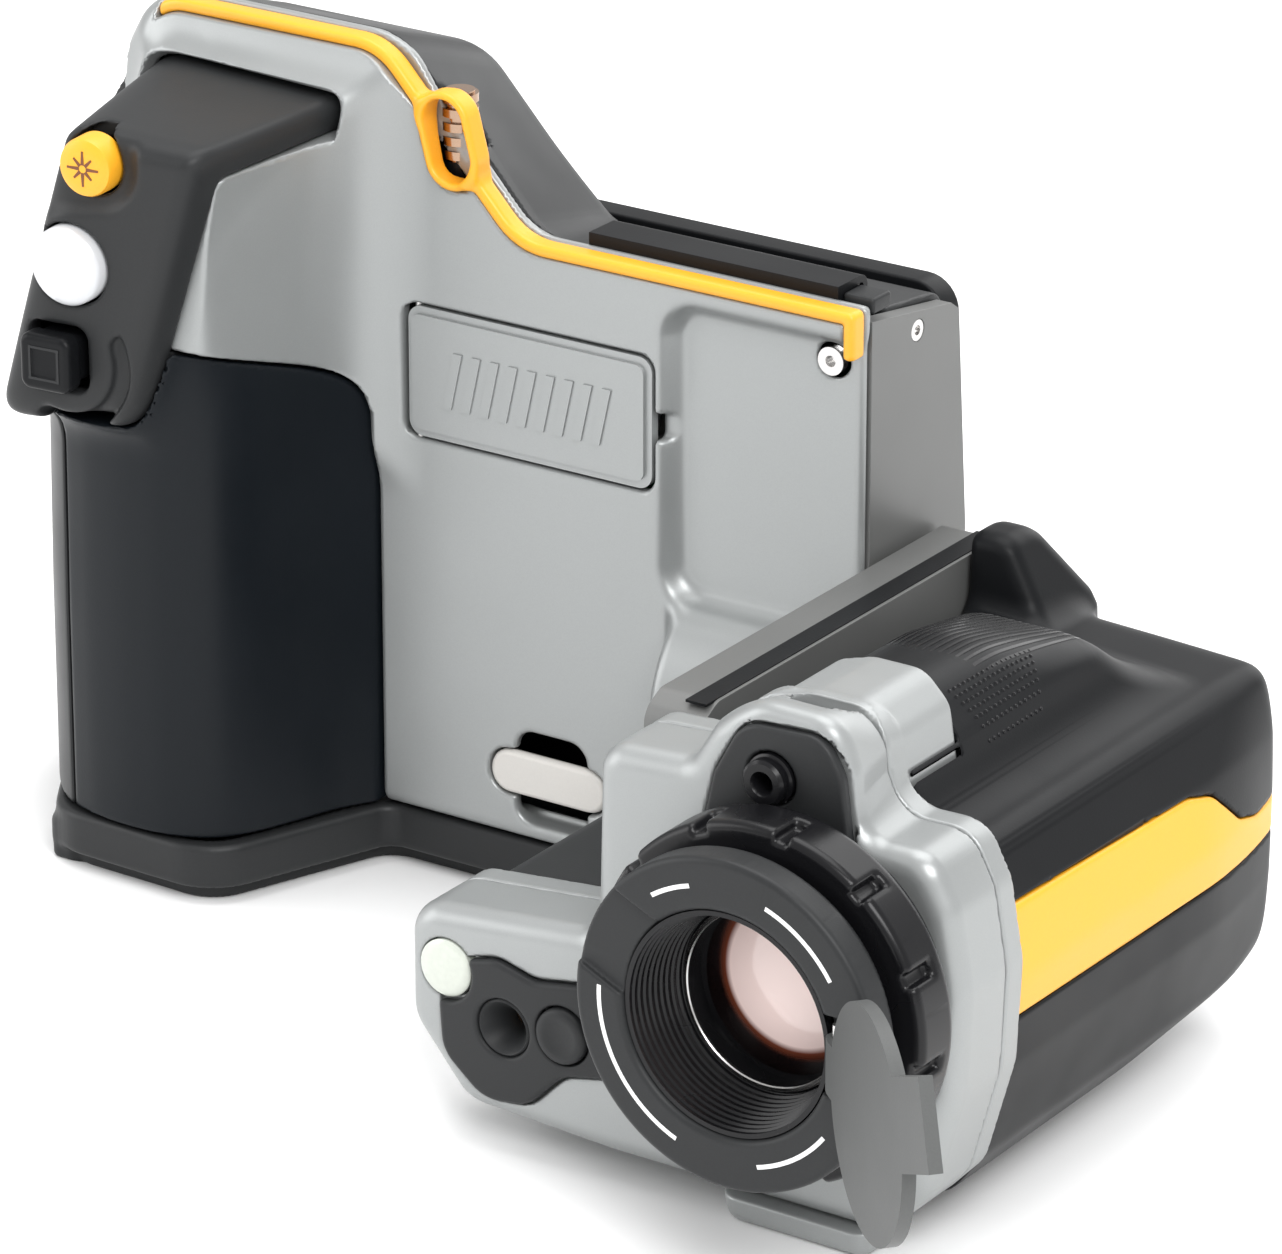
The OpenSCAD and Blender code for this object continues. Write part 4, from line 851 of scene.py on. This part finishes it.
def foot_f(x, y, z):
    taper = rect(x, y, 63.6, -82, 86.8, -71, 3) + np.clip(3.8 - z, 0, 4) * 0.2
    return smax(smax(taper, -z, 1.6), z - 3.75, 0.4) * 0.97


def radius(x, z):
    return np.hypot(x - LX, z - LZ)


def bayonet_f(x, y, z):
    r = radius(x, z)
    front = prism(np.maximum(r - 22.4, 15.3 - r), y, -100, -95, 0.9)
    back = prism(np.maximum(r - 21, 15.3 - r), y, -96, -93.4, 0.4)
    d = smin(front, back, 0.6)
    # seat for the cap's finger tab, and one for its hinge
    tab = math.radians(155)
    along, across = ((x - LX) * math.cos(tab) + (z - LZ) * math.sin(tab),
                     (z - LZ) * math.cos(tab) - (x - LX) * math.sin(tab))
    d = cut(d, smax(smax(np.abs(across) - 6.2, 12 - along, 0.5), y + 99, 0.4), 0.5)
    hinge = rect(x, z, 90.9, 32.4, 96, 43.2, 0.6)
    return cut(d, np.maximum(hinge, y + 98), 0.5)


def focus_f(x, y, z):
    r, a = radius(x, z), np.arctan2(z - LZ, x - LX)
    d = prism(np.maximum(r - 24.4, 17.75 - r), y, -92.5, -84.75, 1.2)
    turn = (a - math.radians(22)) / (math.pi / 6)
    groove = np.abs(turn - np.round(turn)) * (math.pi / 6) * r - 0.9
    return cut(d, smax(smax(groove, 23.1 - r, 0.6), y + 87.5, 0.8), 0.9)


moulded("unit_front", cover_f, (12, -83, 2), (101, -69, 77), 0.55, "lens_unit", "lens_front_cover",
        SILVER, keep=0.35)
moulded("unit_collar", collar_f, (12, -71, 2), (101, -53, 72), 0.5, "lens_unit", "lens_collar",
        SILVER, keep=0.35)
moulded("unit_upper", upper_shell_f, (49, -67, 30), (101, 13, 72), 0.6, "lens_unit", "lens_upper_shell",
        BLACK, keep=0.3)
moulded("unit_lower", lower_shell_f, (49, -67, 1), (101, 13, 33), 0.6, "lens_unit", "lens_lower_shell",
        BLACK, keep=0.3)
moulded("unit_stripe", stripe_f, (89, -67, 28), (101, 13, 48), 0.45, "lens_unit", "side_stripe",
        YELLOW, keep=0.35)
moulded("arm_cover", arm_f, (15, -67, 5), (43, -17, 33), 0.6, "lens_unit", "arm_shell",
        CHARCOAL, keep=0.3)
moulded("arm_panel", camera_panel_f, (18, -83, 5), (58, -79, 30), 0.3, "lens_unit", "camera_panel",
        CHARCOAL, keep=0.4)
moulded("laser_face", laser_panel_f, (58, -83, 48), (86, -79, 73), 0.3, "lens_unit", "laser_panel",
        CHARCOAL, keep=0.4)
moulded("front_foot", foot_f, (62, -84, -1), (89, -69, 5), 0.35, "lens_unit", "lens_foot",
        SILVER, keep=0.35)
moulded("ring_front", bayonet_f, (53, -101, 14), (100, -92, 62), 0.4, "lens_ring", "bayonet_ring",
        CHARCOAL, keep=0.4)
moulded("focus_grip", focus_f, (51, -94, 12), (102, -84, 64), 0.45, "focus_ring", "focus_ring",
        INKY, keep=0.4)


def sector(name, r0, r1, a0, a1, y0, y1, body, replaced, mat):
    """A flat curved bar round the lens axis, between two angles."""
    steps = max(4, round((a1 - a0) / 3))
    verts, faces = [], []
    for k in range(steps + 1):
        a = math.radians(a0 + (a1 - a0) * k / steps)
        for r, y in ((r0, y0), (r1, y0), (r1, y1), (r0, y1)):
            verts.append((LX + r * math.cos(a), y, LZ + r * math.sin(a)))
    for k in range(steps):
        for i in range(4):
            j = (i + 1) % 4
            faces.append((4 * k + i, 4 * k + j, 4 * k + 4 + j, 4 * k + 4 + i))
    faces += [(3, 2, 1, 0), tuple(4 * steps + i for i in range(4))]
    return finish_mesh(name, verts, faces, body, replaced, mat, smooth=False)


for i, (a0, a1) in enumerate(((106, 125), (33, 71), (177, 248), (286, 323))):
    sector("ring_arc_%d" % i, 18.35, 18.95, a0, a1, -100.04, -99.7, "lens_ring", None, ARC)

# inside of the lens barrel: fine steps that swallow stray light, then the bright retaining ring
steps = [(17.6, -93.3), (15.15, -93.3), (15.15, -99.3)]
r, y = 14.5, -99.3
while y < -90.4:
    steps += [(r, y), (r, y + 0.55), (r - 0.3, y + 0.75), (r - 0.3, y + 0.95)]
    r, y = r - 0.18, y + 0.98
steps += [(12.5, -90.2), (12.5, -86), (11.2, -85.9), (11.2, -60), (17, -60), (17, -66.5), (19, -66.5),
          (19, -81.8), (21.6, -81.9), (21.6, -84.4), (17.6, -84.4)]
lathe("barrel_inside", steps, (LX, 0, LZ), LENS_WAY, "lens_unit", "lens_barrel", INKY)
lathe("retaining_ring", [(12.45, -90.1), (11.9, -90.35), (11.75, -90.2), (11.95, -89.6), (12.45, -89.5)],
      (LX, 0, LZ), LENS_WAY, "lens_unit", None, STEEL)
lathe("front_element", [(0.001, -88.2), (4, -87.95), (8, -87.2), (11.3, -86.1), (11.9, -85.9), (11.9, -85.2),
                        (0.001, -85.2)], (LX, 0, LZ), LENS_WAY, "lens_unit", "objective_lens",
      GLASS, closed=False)
lathe("laser_nozzle", [(1.35, -77), (1.35, -83.4), (1.7, -83.9), (2.7, -83.9), (3.1, -83.5), (3.1, -82.2),
                       (3.4, -82.0), (3.4, -71), (1.5, -71), (1.35, -77)][:-1],
      (NOZZLE_AT[0], 0, NOZZLE_AT[1]), LENS_WAY, "lens_unit", "laser_module", INKY)
lathe("eye_funnel", [(0.001, -76.4), (1.4, -76.5), (1.5, -77.6), (3.5, -81.4), (3.75, -81.6), (4, -81.4),
                     (4, -72), (0.001, -72)], (EYE_AT[0], 0, EYE_AT[1]), LENS_WAY, "lens_unit", "visual_camera",
      CHARCOAL, closed=False)
lathe("eye_lens", [(0.001, -77.3), (0.6, -77.2), (1.1, -76.9), (1.3, -76.45), (0.001, -76.42)],
      (EYE_AT[0], 0, EYE_AT[1]), LENS_WAY, "lens_unit", None, BRONZE, closed=False)
lathe("lamp_front", [(0.001, -81.45), (2.8, -81.4), (3.75, -81.25), (4, -81.0), (4, -78.6), (0.001, -78.6)],
      (LAMP_AT[0], 0, LAMP_AT[1]), LENS_WAY, "lens_unit", "lamp_lens", LAMP, closed=False)
lathe("release_face", [(0.001, -82.35), (2.1, -82.35), (2.5, -82.55), (3.4, -82.5), (3.8, -82.2),
                       (3.9, -81.8), (3.9, -77.8), (5.3, -77.8), (5.3, -76.6), (0.001, -76.6)],
      (RELEASE_AT[0], 0, RELEASE_AT[1]), LENS_WAY, "lens_release", "lens_release",
      CHARCOAL, closed=False)


# fine ribs along the top of the bump, and rows of dots on its right flank
def top_of(x, y):
    """Height of the lens unit's body above each point."""
    lo, hi = np.full(len(x), 52.0), np.full(len(x), 75.0)
    for _ in range(26):
        mid = (lo + hi) / 2
        inside = unit_form(x, y, mid) < 0
        lo, hi = np.where(inside, mid, lo), np.where(inside, hi, mid)
    return lo


verts, faces = [], []
for k in range(17):
    x = 60.5 + 1.12 * k
    ys = np.linspace(-46 + 0.3 * abs(k - 8), -12.5 - 0.45 * abs(k - 7), 46)
    base = len(verts)
    row = []
    fade = np.clip(np.minimum(ys - ys[0], ys[-1] - ys) / 3, 0, 1)
    for dx, up in ((-0.36, -0.25), (-0.2, 0.16), (0.2, 0.16), (0.36, -0.25)):
        row.append(top_of(np.full(46, x + dx), ys) + up * fade - 0.05)
    for j in range(46):
        verts += [(x - 0.36, ys[j], row[0][j]), (x - 0.2, ys[j], row[1][j]), (x + 0.2, ys[j], row[2][j]),
                  (x + 0.36, ys[j], row[3][j])]
    for j in range(45):
        for i in range(4):
            a, b = base + 4 * j + i, base + 4 * j + (i + 1) % 4
            faces.append((a, b, b + 4, a + 4))
    faces += [tuple(base + i for i in (3, 2, 1, 0)), tuple(base + 180 + i for i in range(4))]
finish_mesh("bump_ribs", verts, faces, "lens_unit", None, INKY, smooth=False)

spots = np.array([(78.4 + 0.72 * i, -50.5 + 1.15 * j + 0.5 * i) for i in range(7) for j in range(18 - i)])
at = np.stack([spots[:, 0], spots[:, 1], top_of(spots[:, 0], spots[:, 1])], 1)
out = gradient(unit_form, at, 0.3)
verts, faces = [], []
for p, n in zip(at, out):
    n = unit(n)
    u = unit(np.cross(n, (0, 1, 0)))
    v = np.cross(n, u)
    b = len(verts)
    for r, h in ((0.33, -0.05), (0.2, 0.14)):
        verts += [p + n * h + r * (u * math.cos(a) + v * math.sin(a)) for a in np.arange(8) * math.pi / 4]
    verts.append(p + n * 0.19)
    faces += [(b + k, b + (k + 1) % 8, b + 8 + (k + 1) % 8, b + 8 + k) for k in range(8)]
    faces += [(b + 8 + k, b + 8 + (k + 1) % 8, b + 16) for k in range(8)]
    faces.append(tuple(b + 7 - k for k in range(8)))
finish_mesh("bump_dots", verts, faces, "lens_unit", None, INKY, smooth=False)


for node, body, slot, mat, width in (
        ("end_plate", "housing", "grey_shell", GREY, 0.4),
        ("strap_bar", "housing", "silver_shell", IVORY, 0.8),
        ("connector_door", "connector_door", "silver_shell", SILVER, 0.35),
        ("card_cover", "card_cover", "black_plastic", BLACK, 0.5),
        ("lcd_bezel", "housing", "black_plastic", BLACK, 0.6),
        ("keypad_plate", "housing", "black_plastic", BLACK, 0.3),
        ("menu_key", "menu_key", "charcoal_grip", CHARCOAL, 0.4),
        ("mode_key", "mode_key", "charcoal_grip", CHARCOAL, 0.4),
        ("record_key", "record_key", "charcoal_grip", CHARCOAL, 0.4),
        ("power_key", "power_key", "green_key", GREEN, 0.4),
        ("joystick", "joystick", "black_plastic", BLACK, 0.5),
        ("lens_cap", "lens_cap", "cap_grey", CAPGREY, 0.35),
        ("inner_side_plate", "lens_unit", "grey_shell", GREY, 0.7),
        ("card_cover_tab", "card_cover", "charcoal_grip", CHARCOAL, 0.5)):
    softened(node, body, mat, width)


# ---------------------------------------------------------------- nose buttons and small raised shapes

def on_nose(at, across, up, out):
    return at + NOSE_SIDE * across + np.array((0, 0, up)) + NOSE_OUT * out


lathe("laser_cap", [(0.001, 0.85), (2.2, 0.82), (3.3, 0.68), (3.95, 0.35), (4.18, -0.2), (4.2, -3.4),
                    (0.001, -3.4)], LASER_AT, NOSE_OUT, "laser_button", "laser_button", YELLOW,
      closed=False)
lathe("save_cap", [(0.001, 0.9), (2.4, 0.86), (4.2, 0.7), (5.2, 0.4), (5.62, -0.1), (5.7, -3.4),
                   (0.001, -3.4)], SAVE_AT, NOSE_OUT, "save_button", "save_button", WHITE,
      closed=False)


def zoom_f(x, y, z):
    su, sv, w = on_face(x, y, z, ZOOM_AT)
    d = prism(rect(su, sv, -4.1, -4.1, 4.1, 4.1, 1.6), w, -1, 2.5, 0.9)
    d = smin(d, prism(rect(su, sv, -3.4, -3.4, 3.4, 3.4, 1), w, -4.5, 1, 0.4), 0.5)
    return cut(d, prism(rect(su, sv, -2.1, -2.1, 2.1, 2.1, 0.5), w, 2.25, 6, 0.1), 0.3)


rays = []
for k in range(8):
    c, t = math.cos(k * math.pi / 4), math.sin(k * math.pi / 4)
    reach = 2.5 if k % 2 == 0 else 2.0
    rays.append([on_nose(LASER_AT, c * a - t * b, t * a + c * b, 0.7)
                 for a, b in ((0.55, -0.26), (reach, -0.14), (reach, 0.14), (0.55, 0.26))])
raised("laser_rays", rays, NOSE_OUT * 0.2, "laser_button", BROWN)
edge = []
for k in range(4):
    c, t = ((1, 0), (0, 1), (-1, 0), (0, -1))[k]
    edge.append([on_nose(ZOOM_AT, c * a - t * b, t * a + c * b, 2.3)
                 for a, b in ((2.1, -2.5), (2.45, -2.5), (2.45, 2.1), (2.1, 2.1))])
moulded("zoom_rocker", zoom_f, (-75, -53, 74), (-61, -40, 87), 0.35, "zoom_key", "zoom_key",
        BLACK, keep=0.4)
raised("zoom_square", edge, NOSE_OUT * 0.28, "zoom_key", CHARCOAL)
bars = [[(x0 + a, FRONT - 0.2, z0) for a, z0 in ((0, 71.8), (1.5, 71.8), (3.4, 80.2), (1.9, 80.2))]
        for x0 in np.arange(-26.5, -1, 3.1)]
raised("plate_trim", [[(46.9, -64, 62.1), (50.1, -64, 62.1), (50.1, 7.6, 62.1), (46.9, 7.6, 62.1)]],
       np.array((0, 0, 0.35)), "lens_unit", BLACK)
raised("door_pattern", bars, np.array((0, -0.35, 0)), "connector_door", SILVER)

LOOKS = {"silver_shell": SILVER, "grey_shell": GREY, "charcoal_grip": CHARCOAL, "black_plastic": BLACK,
         "yellow_trim": YELLOW, "white_button": WHITE, "green_key": GREEN, "cap_grey": CAPGREY,
         "metal": STEEL, "brass": BRASS, "bronze_tip": BRONZE, "bearing": BLACK, "display_glass": INKY,
         "infrared_glass": WHITE, "circuit_board": BOARD}
for row in frame["record"]["subparts"]:
    mats = NODES[row["node"]].data.materials
    mats.clear()
    mats.append(LOOKS[row["material_slot"]])


# ---------------------------------------------------------------- camera, light and floor

BACKWARD = Vector((0.5170, -0.7682, 0.3774)).normalized()
TARGET = Vector((6.35, -14, 46.36)) * MM
cam_data = bpy.data.cameras.new("camera")
cam = bpy.data.objects.new("camera", cam_data)
bpy.context.scene.collection.objects.link(cam)
cam.location = TARGET + BACKWARD * 1.0061
cam.rotation_euler = BACKWARD.to_track_quat("Z", "Y").to_euler()
cam_data.sensor_width = 36
cam_data.lens = 205.34
cam_data.clip_start = 0.05
bpy.context.scene.camera = cam


def area(name, at, towards, size, power, size_y=None):
    data = bpy.data.lights.new(name, "AREA")
    data.energy = power
    data.shape = "RECTANGLE"
    data.size = size
    data.size_y = size_y or size
    obj = bpy.data.objects.new(name, data)
    bpy.context.scene.collection.objects.link(obj)
    obj.location = at
    obj.rotation_euler = (Vector(at) - Vector(towards)).to_track_quat("Z", "Y").to_euler()
    return obj


MIDDLE = (0.0, -0.03, 0.06)
area("key_light", (0.9, -0.75, 1.1), MIDDLE, 0.8, 17)
area("left_light", (-1.1, -0.7, 0.5), MIDDLE, 0.9, 7)
area("top_light", (-0.1, 0.2, 1.5), MIDDLE, 1.2, 15)
area("rear_light", (0.1, 1.3, 0.7), MIDDLE, 1.0, 7)

world = bpy.data.worlds.new("soft")
world.use_nodes = True
world.node_tree.nodes["Background"].inputs["Color"].default_value = (1, 1, 1, 1)
world.node_tree.nodes["Background"].inputs["Strength"].default_value = 0.75
bpy.context.scene.world = world
bpy.context.scene.view_settings.view_transform = "Standard"

floor_mesh = bpy.data.meshes.new("floor")
floor_mesh.from_pydata([(-4, -4, 0), (4, -4, 0), (4, 4, 0), (-4, 4, 0)], [], [(0, 1, 2, 3)])
floor = bpy.data.objects.new("floor", floor_mesh)
bpy.context.scene.collection.objects.link(floor)
floor_mat = bpy.data.materials.new("floor_white")
floor_mat.use_nodes = True
floor_mat.node_tree.nodes["Principled BSDF"].inputs["Base Color"].default_value = (0.93, 0.93, 0.93, 1)
floor_mat.node_tree.nodes["Principled BSDF"].inputs["Roughness"].default_value = 0.9
floor_mesh.materials.append(floor_mat)
